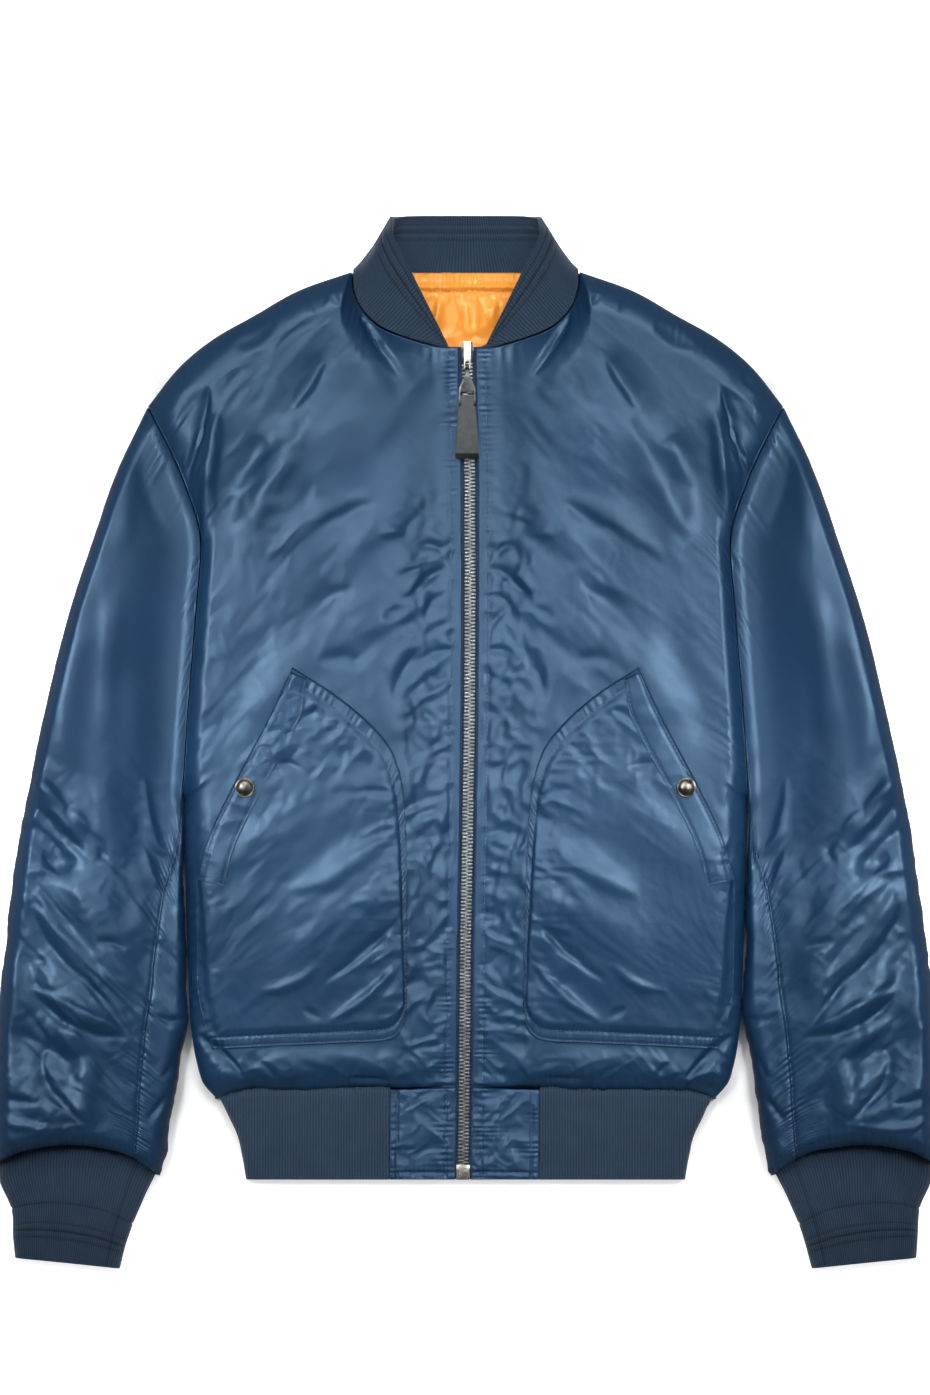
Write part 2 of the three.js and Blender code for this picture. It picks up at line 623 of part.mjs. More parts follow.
const zipTop = 297;
const chain = { half: 4.3, above: 0.5, thick: 3.3, foot: -316.4, head: 291 };
const slider = { top: 300.8, bottom: 286, half: 4.8, clear: 0.8, plate: 1.4, crownHalf: 2.6, crownHigh: 5 };
const pin = { y: 281.9, above: 3.6, radius: 0.8, bore: 1.15, eye: 2, halfEye: 1.3 };
const tab = { thick: 1.6, bottom: 253.3, topHalf: 3, bottomHalf: 6.5, slotHalf: 4.8, slot: [257.6, 262.8] };
const grip = { bottom: 212.8, topHalf: 6.5, bottomHalf: 9, loopHalf: 4.4, loopTop: 260.2, strap: 1.05 };

for (const [name, side] of sideNames) {
  const at = (u, v) => {
    const y = mix(zipTop, hemBottom + 1.5, v);
    return [side * mix(0.3, 14.5, u) + zipX(y), y, zipZ(y) - wallOf.shell - 0.9];
  };
  add(`zip_tape_${name}`, wall({ cols: 1, rows: 18, at, thick: wallOf.tape, flip: side > 0 }), 'tape');
}

function chainAt(u, v) {
  const y = mix(chain.head, chain.foot, v);
  return [mix(-chain.half, chain.half, u) + zipX(y), y, zipZ(y) + chain.above];
}
add('zip_chain', wall({ cols: 2, rows: 18, at: chainAt, thick: chain.thick, flip: true }), 'nickel');

// A closed solid from a mesh of the library's own shapes, for joins and cuts.
function solid(geometry) {
  const plain = geometry.clone();
  for (const extra of ['normal', 'uv']) plain.deleteAttribute(extra);
  const merged = mergeVertices(plain, 1e-4);
  return new wasm.Manifold(new wasm.Mesh({
    numProp: 3,
    vertProperties: new Float32Array(merged.attributes.position.array),
    triVerts: new Uint32Array(merged.index.array),
  }));
}

function geometryOf(body) {
  const { vertProperties, triVerts } = body.getMesh();
  const geometry = new THREE.BufferGeometry();
  geometry.setAttribute('position', new THREE.BufferAttribute(vertProperties, 3));
  geometry.setIndex(new THREE.BufferAttribute(triVerts, 1));
  geometry.computeVertexNormals();
  return geometry;
}

// A plate with an outline seen from above, lying between two heights.
function plate(outline, from, to) {
  const shape = new THREE.Shape(outline.map((p) => new THREE.Vector2(...p)));
  const raised = new THREE.ExtrudeGeometry(shape, { depth: to - from, bevelEnabled: false });
  return solid(raised.translate(0, 0, from));
}

const block = (half, y0, y1, z0, z1) => plate([[-half, y0], [half, y0], [half, y1], [-half, y1]], z0, z1);
const rod = (radius, half, y, z) =>
  solid(new THREE.CylinderGeometry(radius, radius, 2 * half, 16).rotateZ(Math.PI / 2).translate(0, y, z));

const zipSet = new THREE.Group();
zipSet.position.set(zipX(pin.y), 0, zipZ(pin.y));
jacket.add(zipSet);

// The outline of a plate that is the same on both sides of the middle, from its right half.
const bothSides = (half) => [...half, ...half.map(([x, y]) => [-x, y]).reverse()];

const plateTop = slider.clear + slider.plate;
const sliderPlate = plate(
  bothSides([[3.6, slider.bottom], [slider.half, slider.top - 6], [slider.half - 0.8, slider.top]]),
  slider.clear, plateTop,
);
const crown = block(slider.crownHalf, pin.y - 1.6, slider.top - 0.6, plateTop - 0.2, slider.crownHigh);
const eyeHalf = pin.halfEye + 0.3;
const pinGap = block(eyeHalf, pin.y - 5, slider.bottom, 0, 9).add(
  block(eyeHalf, pin.y, pin.y + 5.3, plateTop - 0.01, 9),
);
const sliderBody = sliderPlate.add(crown).subtract(pinGap)
  .add(rod(pin.radius, slider.crownHalf - 0.3, pin.y, pin.above));
add('zip_slider', geometryOf(sliderBody), 'nickel', zipSet);

const tabMiddle = pin.above;
const tabLow = tabMiddle - tab.thick / 2;
const tabHigh = tabMiddle + tab.thick / 2;
const tabPlate = plate(
  bothSides([
    [tab.bottomHalf - 1.5, tab.bottom], [tab.bottomHalf, tab.bottom + 1.5], [tab.bottomHalf - 0.4, 266],
    [tab.topHalf, pin.y - 8.5], [pin.halfEye, pin.y - 6.5], [pin.halfEye, pin.y],
  ]),
  tabLow, tabHigh,
);
const tabBody = tabPlate
  .add(rod(pin.eye, pin.halfEye, pin.y, pin.above))
  .subtract(rod(pin.bore, pin.halfEye + 1, pin.y, pin.above))
  .subtract(block(tab.slotHalf, ...tab.slot, 0, 9));
add('pull_tab', geometryOf(tabBody), 'gunmetal', zipSet);

const gripClear = 0.35;
const gripSpread = plate(
  bothSides([
    [grip.bottomHalf - 1, grip.bottom], [grip.bottomHalf, grip.bottom + 1], [grip.topHalf, tab.bottom - 2],
    [grip.loopHalf, tab.bottom - 0.6], [grip.loopHalf, grip.loopTop],
  ]),
  tabLow - gripClear - grip.strap, tabHigh + gripClear + grip.strap,
);
const gripBody = gripSpread.subtract(
  block(12, tab.bottom - 0.4, tab.slot[0] + 0.4, tabLow - gripClear, tabHigh + gripClear),
);
add('pull_grip', geometryOf(gripBody), 'leather', zipSet);

const boxAt = new THREE.Group();
boxAt.position.set(zipX(hemBottom), 0, zipZ(hemBottom));
jacket.add(boxAt);
add('zip_box', geometryOf(block(5.2, hemBottom, chain.foot - seamGap, -2.9, 1.6)), 'nickel', boxAt);

export default jacket;
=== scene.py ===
import math
import bmesh
import bpy
import numpy as np
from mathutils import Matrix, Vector


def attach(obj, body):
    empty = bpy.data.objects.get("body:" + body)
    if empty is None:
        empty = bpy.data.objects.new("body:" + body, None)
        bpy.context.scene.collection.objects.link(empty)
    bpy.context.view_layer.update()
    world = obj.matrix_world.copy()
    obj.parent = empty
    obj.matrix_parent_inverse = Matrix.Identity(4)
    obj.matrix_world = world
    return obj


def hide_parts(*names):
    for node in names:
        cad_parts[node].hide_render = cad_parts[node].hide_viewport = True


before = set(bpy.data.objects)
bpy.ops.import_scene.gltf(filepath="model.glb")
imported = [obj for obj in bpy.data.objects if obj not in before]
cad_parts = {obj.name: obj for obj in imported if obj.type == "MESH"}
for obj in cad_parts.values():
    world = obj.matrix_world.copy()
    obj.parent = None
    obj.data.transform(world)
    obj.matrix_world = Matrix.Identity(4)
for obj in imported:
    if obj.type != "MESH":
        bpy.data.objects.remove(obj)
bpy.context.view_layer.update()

mm = 0.001  # all sizes below are millimetres; meshes are scaled to metres when they are made
print("frame loaded")


# general shapes

def mix(a, b, t):
    return a + (b - a) * t


def smooth(t):
    # 3t^2 - 2t^3 between 0 and 1
    t = np.clip(t, 0, 1)
    return t * t * (3 - 2 * t)


def quarter(distance, radius):
    # height of a quarter circle: 0 with an upright tangent at an edge, 1 from one radius inside it
    return np.sqrt(np.maximum(0, 1 - (1 - np.clip(distance / radius, 0, 1)) ** 2))


def ease(distance, radius):
    # a parabola: 0 at an edge, level one radius inside it
    return 1 - (1 - np.clip(distance / radius, 0, 1)) ** 2


def rollTo(z, edgeZ, distance, radius):
    return mix(edgeZ, z, quarter(distance, radius))


def crowdedLate(t):
    return 1 - (1 - t) ** 1.7


def crowdedEnds(t, much):
    # the same share, with its steps drawn towards both ends
    return t - much * np.sin(2 * np.pi * t) / (2 * np.pi)


def bell(distance, half):
    return np.exp(-(distance / half) ** 2)


class Through:
    # smooth curve through points, walked by its share of the chord length (cubic between knots)
    def __init__(self, points):
        self.points = np.array(points, float)
        steps = np.hypot(*np.diff(self.points, axis=0).T)
        self.at = np.concatenate([[0], np.cumsum(steps)])
        self.span = self.at[-1]
        after = np.minimum(np.arange(len(points)) + 1, len(points) - 1)
        before = np.maximum(np.arange(len(points)) - 1, 0)
        self.slopes = (self.points[after] - self.points[before]) / (self.at[after] - self.at[before])[:, None]

    def __call__(self, share):
        walked = np.clip(share, 0, 1) * self.span
        k = np.clip(np.searchsorted(self.at, walked, side="right") - 1, 0, len(self.at) - 2)
        step = (self.at[k + 1] - self.at[k])[..., None]
        s = (walked - self.at[k])[..., None] / step
        p, q = self.points[k], self.points[k + 1]
        m, n = self.slopes[k] * step, self.slopes[k + 1] * step
        return p + s * (m + s * (3 * (q - p) - 2 * m - n + s * (2 * (p - q) + m + n)))


class Joined:
    # one curve after another; turn is the share at which the second starts
    def __init__(self, first, second):
        self.first, self.second = first, second
        self.span = first.span + second.span
        self.turn = first.span / self.span

    def __call__(self, share):
        share = np.asarray(share, float)
        a, b = self.first(share / self.turn), self.second((share - self.turn) / (1 - self.turn))
        return np.where((share < self.turn)[..., None], a, b)


def patch(top, bottom, start, end):
    # surface between four curves: both straight blends added, the corners' blend taken away
    corners = [top(np.zeros(1))[0], top(np.ones(1))[0], bottom(np.zeros(1))[0], bottom(np.ones(1))[0]]

    def at(u, v):
        t, m, s, e = top(u), bottom(u), start(v), end(v)
        u, v = u[..., None], v[..., None]
        a, b, c, d = corners
        return mix(t, m, v) + mix(s, e, u) - mix(mix(a, b, u), mix(c, d, u), v)
    return at


def along(rows, place):
    rows = np.array(rows, float)
    return np.interp(place, rows[:, 0], rows[:, 1])


def noise(x, y, seed):
    # soft random heights from -1 to 1 on a lattice one unit wide, smoothed between its points
    lattice = np.random.default_rng(seed).uniform(-1, 1, (128, 128))
    xi, yi = np.floor(x).astype(int), np.floor(y).astype(int)
    fx, fy = smooth(x - xi), smooth(y - yi)
    pick = lambda i, j: lattice[(xi + i) % 128, (yi + j) % 128]
    return mix(mix(pick(0, 0), pick(1, 0), fx), mix(pick(0, 1), pick(1, 1), fx), fy)


def crumple(x, y, seed, size, turn=0.0, stretch=2.0):
    # thin sharp ridges with wide soft valleys: 1 - |noise|, on places bent by a wider noise
    cosine, sine = math.cos(turn), math.sin(turn)
    a, b = (x * cosine + y * sine) / (size * stretch), (-x * sine + y * cosine) / size
    a, b = a + 0.5 * noise(a * 0.6, b * 0.6, seed + 1), b + 0.7 * noise(a * 0.7, b * 0.7, seed + 2)
    ridge = 1 - np.abs(noise(a, b, seed)) * 2
    return ridge * 0.6 + 0.4 * noise(a * 1.9, b * 1.9, seed + 3)


def crinkle(x, y, seed, size, turn):
    # a net of small creases: two crumples that cross
    across = crumple(x, y, seed + 5, size * 0.75, turn - 1.3, 1.5)
    return 0.6 * crumple(x, y, seed, size, turn, 1.9) + 0.4 * across


def layer(setting, x, y, seed):
    # one layer of relief: its kind, its rise, and the size, turn and stretch that the kind takes
    kind, rise, *shape = setting
    return rise * kind(x, y, seed, *shape)


def nearestOn(line, x, y):
    # the way from each point to a line of short pieces, the share of its pieces walked, and the side of it
    best, share, side = np.full(x.shape, 1e9), np.zeros_like(x), np.zeros_like(x)
    for k, ((ax, ay), (bx, by)) in enumerate(zip(line[:-1], line[1:])):
        dx, dy = bx - ax, by - ay
        step = np.clip(((x - ax) * dx + (y - ay) * dy) / (dx * dx + dy * dy), 0, 1)
        gx, gy = x - ax - step * dx, y - ay - step * dy
        gap = gx * gx + gy * gy
        closer = gap < best
        best[closer] = gap[closer]
        share[closer] = (k / (len(line) - 1) + step / (len(line) - 1))[closer]
        side[closer] = np.sign(dx * gy - dy * gx)[closer]
    return np.sqrt(best), share, side


def distanceTo(curve, x, y):
    return nearestOn(curve(np.linspace(0, 1, 61)), x, y)[0]


def pucker(place, away, seed, rise, pitch, reach):
    # small pleats across a seam: uneven waves at places along it, which die out with the way from it
    step = place / pitch
    phase = step + 0.9 * noise(step / 2.6, step * 0, seed)
    size = 0.55 + 0.45 * noise(step / 1.7, step * 0 + 7, seed + 1)
    length = reach * (0.75 + 0.5 * noise(step / 1.3, step * 0 + 3, seed + 2))
    return rise * (np.cos(2 * np.pi * phase) * size * np.exp(-np.maximum(away, 0) / length))


def foldsAt(table, x, y):
    # wide folds: a bell across a line whose middle bows sideways, faded at both ends
    total = 0
    for x0, y0, x1, y1, bow, width, height in table:
        dx, dy = x1 - x0, y1 - y0
        length = math.hypot(dx, dy)
        share = ((x - x0) * dx + (y - y0) * dy) / length ** 2
        inside = np.clip(share, 0, 1)
        across = ((x - x0) * -dy + (y - y0) * dx) / length - 4 * bow * inside * (1 - inside)
        ends = smooth((share + 0.15) / 0.35) * smooth((1.15 - share) / 0.35)
        total = total + height * ends * bell(across, width)
    return total


def creasesAt(table, x, y, seed):
    # creases: a bell across a three-point arc, steeper on the side that lean names, thin at its ends
    total = np.zeros_like(x)
    wobble = noise(x / 11, y / 11, seed) * 1.1
    for x0, y0, xm, ym, x1, y1, width, height, lean in table:
        pad = 4 * width + 4
        near = (x > min(x0, xm, x1) - pad) & (x < max(x0, xm, x1) + pad)
        near &= (y > min(y0, ym, y1) - pad) & (y < max(y0, ym, y1) + pad)
        if not near.any():
            continue
        t = np.linspace(0, 1, 14)
        arc = [a * (1 - t) * (1 - 2 * t) + m * 4 * t * (1 - t) + b * t * (2 * t - 1)
               for a, m, b in ((x0, xm, x1), (y0, ym, y1))]
        gap, share, side = nearestOn(np.stack(arc, -1), x[near], y[near])
        away = side * gap + wobble[near] * width / 6
        taper = np.sin(np.pi * np.clip(share, 0, 1)) ** 0.8
        wide = width * (1 + lean * np.tanh(away / width)) * (0.45 + 0.55 * taper)
        past = bell(np.maximum(0, gap - np.abs(away)), width)
        total[near] += height * taper * bell(away, np.maximum(wide, 0.5)) * past
    return total


# meshes

pieces = {}


def finishMesh(name, verts, faces, material, body="jacket", uv=None, grooveShade=None):
    mesh = bpy.data.meshes.new(name)
    mesh.from_pydata((np.asarray(verts) * mm).tolist(), [], faces)
    mesh.validate()
    if uv is not None:
        uvLayer = mesh.uv_layers.new(name="cloth")
        loops = np.empty(len(mesh.loops), dtype=np.int32)
        mesh.loops.foreach_get("vertex_index", loops)
        uvLayer.data.foreach_set("uv", (np.asarray(uv)[loops] * mm).astype(np.float32).ravel())
    # the knit's painted shade in its grooves, one amount per point
    if grooveShade is not None:
        mesh.attributes.new("grooveShade", "FLOAT", "POINT").data.foreach_set("value", grooveShade.astype(np.float32))
    mesh.materials.append(material)
    mesh.polygons.foreach_set("use_smooth", np.ones(len(mesh.polygons), dtype=bool))
    mesh.update()
    piece = bpy.data.objects.new(name, mesh)
    bpy.context.scene.collection.objects.link(piece)
    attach(piece, body)
    pieces[name] = piece
    return piece


def gridNormals(points, ring=False):
    # cross product of the two grid directions, turned to unit length
    if ring:
        alongU = np.roll(points, -1, 1) - np.roll(points, 1, 1)
    else:
        alongU = np.gradient(points, axis=1)
    normal = np.cross(alongU, np.gradient(points, axis=0))
    return normal / np.maximum(np.linalg.norm(normal, axis=2, keepdims=True), 1e-12)


def clothWall(name, points, thick, material, flip=False, step=4, ring=False, uv=None, relief=None,
              innerRelief=None, groundFlat=False, grooveShade=None):
    # points[row, column] is the outer side; the inner one lies inside it, on every step-th row and column
    rows, cols = points.shape[:2]
    normal = gridNormals(points, ring) * (-1 if flip else 1)
    if groundFlat:
        normal[points[..., 2] < 0.02] = (0, 0, -1)
    outer = points + (0 if relief is None else relief[..., None] * normal)
    if groundFlat:
        outer[..., 2] = np.maximum(outer[..., 2], 0)
    r = np.unique(np.append(np.arange(0, rows, step), rows - 1))
    c = np.arange(0, cols, step) if ring else np.unique(np.append(np.arange(0, cols, step), cols - 1))
    base = points[np.ix_(r, c)]
    inward = gridNormals(base, ring) * (-1 if flip else 1)
    if groundFlat:
        inward[base[..., 2] < 0.02] = (0, 0, -1)
    depth = thick + (0 if innerRelief is None else innerRelief[np.ix_(r, c)])
    inner = base - inward * np.broadcast_to(depth, base.shape[:2])[..., None]
    number = np.arange(rows * cols).reshape(rows, cols)
    under = (np.arange(len(r) * len(c)) + rows * cols).reshape(len(r), len(c))

    def quads(n):
        right = np.roll(n, -1, 1) if ring else n[:, 1:]
        left = n if ring else n[:, :-1]
        return np.stack([left[:-1], right[:-1], right[1:], left[1:]], -1).reshape(-1, 4)
    faces = quads(number).tolist() + quads(under)[:, ::-1].tolist()
    edges = []
    if not ring:
        edges += [(number[:, 0], under[:, 0], r, True), (number[:, -1], under[:, -1], r, False)]
        edges += [(number[0], under[0], c, False), (number[-1], under[-1], c, True)]
    else:
        wrapped = np.append(c, cols)
        for row, turned in ((0, False), (-1, True)):
            around = [np.append(line[row], line[row][0]) for line in (number, under)]
            edges.append((*around, wrapped, turned))
    for big, small, marks, turned in edges:
        for k in range(len(marks) - 1):
            rim = big[marks[k]:marks[k + 1] + 1].tolist()[::-1] + [int(small[k]), int(small[k + 1])]
            faces.append(rim if turned else rim[::-1])
    faces = [f[::-1] for f in faces] if flip else faces
    allPoints = np.concatenate([outer.reshape(-1, 3), inner.reshape(-1, 3)])
    if uv is not None:
        uv = np.concatenate([uv.reshape(-1, 2), uv[np.ix_(r, c)].reshape(-1, 2)])
    # the painted shade of the grooves lies on the outer side only
    if grooveShade is not None:
        grooveShade = np.append(grooveShade.ravel(), np.zeros(len(base.reshape(-1, 3))))
    return finishMesh(name, allPoints, faces, material, uv=uv, grooveShade=grooveShade), outer


def sampleGrid(grid, u, v):
    # the point and the normal of a grid at shares u across and v down
    rows, cols = grid.shape[:2]
    x, y = np.clip(u, 0, 1) * (cols - 1), np.clip(v, 0, 1) * (rows - 1)
    i, j = np.minimum(x.astype(int), cols - 2), np.minimum(y.astype(int), rows - 2)
    fx, fy = (x - i)[:, None], (y - j)[:, None]
    a, b, c, d = grid[j, i], grid[j, i + 1], grid[j + 1, i], grid[j + 1, i + 1]
    normal = np.cross(b - a, c - a)
    normal /= np.linalg.norm(normal, axis=1, keepdims=True)
    normal *= np.sign(normal[:, 2:3])
    return mix(mix(a, b, fx), mix(c, d, fx), fy), normal


def stitchRun(path, normals, length=2.5, pitch=3.3, radius=0.28):
    # one small bean for each pitch of the path: four rings that narrow to its ends, which dip into the cloth
    steps = np.linalg.norm(np.diff(path, axis=0), axis=1)
    at = np.concatenate([[0], np.cumsum(steps)])
    starts = np.arange(0.5, at[-1] - length, pitch)
    pick = lambda place: np.stack([np.interp(place, at, path[:, k]) for k in range(3)], -1)
    up = np.stack([np.interp(starts + length / 2, at, normals[:, k]) for k in range(3)], -1)
    up /= np.linalg.norm(up, axis=1, keepdims=True)
    a, b = pick(starts), pick(starts + length)
    forward = (b - a) / np.linalg.norm(b - a, axis=1, keepdims=True)
    sidewards = np.cross(forward, up)
    sidewards /= np.linalg.norm(sidewards, axis=1, keepdims=True)
    share = np.array([0, 0.22, 0.78, 1.0])
    size = np.array([0.3, 1.0, 1.0, 0.3]) * radius
    lift = np.array([-0.35, 0.2, 0.2, -0.35]) * radius
    angle = np.arange(6) * np.pi / 3
    middles = a[:, None] + (b - a)[:, None] * share[None, :, None] + up[:, None] * lift[None, :, None]
    circle = np.cos(angle)[:, None] * sidewards[:, None, None] + np.sin(angle)[:, None] * up[:, None, None]
    rings = middles[:, :, None] + size[None, :, None, None] * circle
    verts = rings.reshape(-1, 3)
    ring, corner = np.arange(3)[:, None] * 6, np.arange(6)
    after = (corner + 1) % 6
    one = np.stack([ring + corner, ring + after, ring + 6 + after, ring + 6 + corner], -1).reshape(-1, 4)
    base = np.arange(len(starts))[:, None, None] * 24
    faces = (one[None] + base).reshape(-1, 4).tolist()
    caps = np.stack([np.arange(6)[::-1], np.arange(6) + 18])
    faces += (caps[None] + base).reshape(-1, 6).tolist()
    return verts, faces


def joinRuns(name, runs, material):
    verts, faces, start = [], [], 0
    for v, f in runs:
        verts.append(v)
        faces += [[i + start for i in face] for face in f]
        start += len(v)
    return finishMesh(name, np.concatenate(verts), faces, material)


# materials

def colour(code):
    # an sRGB hex value turned to linear light
    parts = [int(code[k:k + 2], 16) / 255 for k in (1, 3, 5)]
    return tuple(c / 12.92 if c <= 0.04045 else ((c + 0.055) / 1.055) ** 2.4 for c in parts) + (1.0,)


def newMaterial(name):
    material = bpy.data.materials.new(name)
    material.use_nodes = True
    material.node_tree.nodes.clear()
    return material


def node(m, kind, output, settings=None, links=None):
    # adds a node and returns it with its output; settings are properties or sockets, links are such pairs
    tree = m.node_tree
    made = tree.nodes.new("ShaderNode" + kind)
    for key, value in (settings or {}).items():
        if isinstance(key, str) and hasattr(made, key) and key not in made.inputs:
            setattr(made, key, value)
        else:
            made.inputs[key].default_value = value
    for key, (source, sourceOutput) in (links or {}).items():
        tree.links.new(source.outputs[sourceOutput], made.inputs[key])
    return made, output


def cloud(m, place, scale, detail):
    return node(m, "TexNoise", "Fac", {"Scale": scale, "Detail": detail}, {"Vector": place})


def ramp(m, source, *stops):
    # a colour between two stops, each a place and a colour
    made, output = node(m, "ValToRGB", "Color", links={"Fac": source})
    for element, (place, code) in zip(made.color_ramp.elements, stops):
        element.position = place
        element.color = colour(code)
    return made, output


def remap(m, source, low, high, fromRange=(0.3, 0.7)):
    settings = {"From Min": fromRange[0], "From Max": fromRange[1], "To Min": low, "To Max": high}
    return node(m, "MapRange", "Result", settings, {"Value": source})


def bump(m, height, strength, distance, under=None):
    links = {"Height": height} if under is None else {"Height": height, "Normal": under}
    return node(m, "Bump", "Normal", {"Strength": strength, "Distance": distance}, links)


def addScaled(m, source, factor, other):
    # source x factor + other
    return node(m, "Math", "Value", {"operation": "MULTIPLY_ADD", 1: factor}, {0: source, 2: other})


def painted(m, factor, tone, code):
    # one colour laid over another as far as the factor says
    return node(m, "Mix", "Result", {"data_type": "RGBA", "B": colour(code)}, {"Factor": factor, "A": tone})


def finishMaterial(m, settings, links):
    shader = node(m, "BsdfPrincipled", "BSDF", settings, links)
    node(m, "OutputMaterial", None, links={"Surface": shader})
    return m


def satinMaterial(name, dark, light, gloss, roughness=0.43, filament=0.04):
    # nylon flight satin: dark filaments of slightly changing shade under a broad tinted gloss
    m = newMaterial(name)
    place = node(m, "TexCoord", "Object")
    tone = ramp(m, cloud(m, place, 14.0, 3.0), (0.3, dark), (0.7, light))
    # real filaments are 0.2 mm apart; these slubs are 7 mm long in X and 1 mm wide in Y, so that they show
    stretched = node(m, "Mapping", "Vector", {"Scale": (150.0, 1000.0, 500.0)}, {"Vector": place})
    slub = cloud(m, stretched, 1.0, 2.0)
    weave = bump(m, slub, 0.1, 0.0002, bump(m, cloud(m, place, 160.0, 3.0), 0.2, 0.0006))
    shine = remap(m, slub, roughness - filament, roughness + filament)
    return finishMaterial(m, {"IOR": 1.55, "Specular IOR Level": 0.65, "Specular Tint": colour(gloss)},
                          {"Base Color": tone, "Roughness": shine, "Normal": weave})


def knitMaterial(name, dark, light, ribPitch=2.1, loopPitch=1.5):
    # worsted rib knit: matt yarn in ribs, a little wider than real, each of small slanted loops;
    # a wave texture repeats every 2 pi / (20 x its scale) metres
    m = newMaterial(name)
    place = node(m, "UVMap", "UV", {"uv_map": "cloth"})
    waves = []
    ribs, loops = ("X", ribPitch, 0.5, 1.0, 1.5), ("Y", loopPitch, 2.5, 2.0, 2.0)
    for way, pitch, bend, detail, detailScale in (ribs, loops):
        settings = {"wave_type": "BANDS", "bands_direction": way, "Scale": 314.16 / pitch,
                    "Distortion": bend, "Detail": detail, "Detail Scale": detailScale}
        waves.append(node(m, "TexWave", "Fac", settings, {"Vector": place}))
    rib, loop = waves
    height = addScaled(m, cloud(m, place, 900.0, 3.0), 0.5, addScaled(m, loop, 0.3, rib))
    # the yarn's colour follows the rib and loop height: painted shade in their hollows and lighter crests,
    # with random tone from the noises
    shade = addScaled(m, cloud(m, place, 60.0, 3.0), 0.6, height)
    tone = ramp(m, remap(m, shade, 0.0, 1.0, (0.3, 2.0)), (0.0, dark), (1.0, light))
    # painted shade: a per-point attribute darkens the yarn in the grooves beside the welts, where shadow
    # falls
    grooveShade = node(m, "Attribute", "Fac", {"attribute_name": "grooveShade"})
    matt = {"Roughness": 0.92, "IOR": 1.5, "Sheen Weight": 0.15, "Specular IOR Level": 0.25}
    return finishMaterial(m, matt, {"Base Color": painted(m, grooveShade, tone, "#0b121b"),
                                    "Normal": bump(m, height, 0.7, 0.0005)})


def metalMaterial(name, bright, worn, roughness, crownHighlight=None):
    # plated metal with faint rubbed patches, and an optional painted highlight: a bright stripe in X, given
    # by its middle and half width
    m = newMaterial(name)
    place = node(m, "TexCoord", "Object")
    patches = cloud(m, place, 180.0, 4.0)
    tone = ramp(m, patches, (0.4, worn), (0.62, bright))
    if crownHighlight is not None:
        # painted highlight: near white inside the stripe
        across = node(m, "SeparateXYZ", "X", links={"Vector": place})
        near = {"operation": "COMPARE", 1: crownHighlight[0], 2: crownHighlight[1]}
        stripe = node(m, "Math", "Value", near, {0: across})
        tone = painted(m, stripe, tone, "#eeeeea")
    return finishMaterial(m, {"Metallic": 1.0},
                          {"Base Color": tone, "Roughness": remap(m, patches, roughness + 0.1, roughness)})


def plainCloth(name, dark, light, roughness, grainScale, depth, paintedShadeBelow=None, specular=0.5):
    # woven tape, thread or leather: small even grain with a little colour change, and a painted black shadow
    # below a place in Y
    m = newMaterial(name)
    place = node(m, "TexCoord", "Object")
    grain = cloud(m, place, grainScale, 4.0)
    tone = ramp(m, grain, (0.35, dark), (0.65, light))
    if paintedShadeBelow is not None:
        # painted shadow: near black below the given place in Y
        up = node(m, "SeparateXYZ", "Y", links={"Vector": place})
        shadedFoot = node(m, "Math", "Value", {"operation": "LESS_THAN", 1: paintedShadeBelow}, {0: up})
        tone = painted(m, shadedFoot, tone, "#08090a")
    return finishMaterial(m, {"Roughness": roughness, "IOR": 1.5, "Specular IOR Level": specular},
                          {"Base Color": tone, "Normal": bump(m, grain, 0.5, depth)})


navySatin = satinMaterial("navyNylonSatin", "#0f2b49", "#143352", "#b4dcff")
orangeSatin = satinMaterial("orangeNylonLining", "#ff9a36", "#ffab4a", "#ffe9b8", 0.36)
navyKnit = knitMaterial("navyRibKnit", "#182637", "#35495f")
zipTape = plainCloth("wovenZipTape", "#26374f", "#364a66", 0.85, 1400.0, 0.0002)
teethMetal = metalMaterial("nickelSilverTeeth", "#e4e3da", "#93938a", 0.24)
brightMetal = metalMaterial("brightNickel", "#bdbab3", "#77746d", 0.26)
# the bright stripe down the slider's crown is a painted highlight
sliderMetal = metalMaterial("rubbedNickelPaintedHighlight", "#75726b", "#35332f", 0.3, crownHighlight=(0.0013, 0.0024))
snapMetal = metalMaterial("antiqueNickel", "#85827a", "#3f3d38", 0.3)
darkMetal = metalMaterial("darkGunmetal", "#6c6e6e", "#434546", 0.3)
# the grip's lower edge, below 0.217 m in Y, is painted shadow
gripLeather = plainCloth("wornGreyLeather", "#414546", "#4c5051", 0.45, 200.0, 0.0002, 0.217, specular=0.2)
threadNavy = plainCloth("navySewingThread", "#24384f", "#3a5270", 0.6, 2500.0, 0.0001)
threadOrange = plainCloth("orangeSewingThread", "#d97a26", "#f39a48", 0.6, 2500.0, 0.0001)
print("materials made")


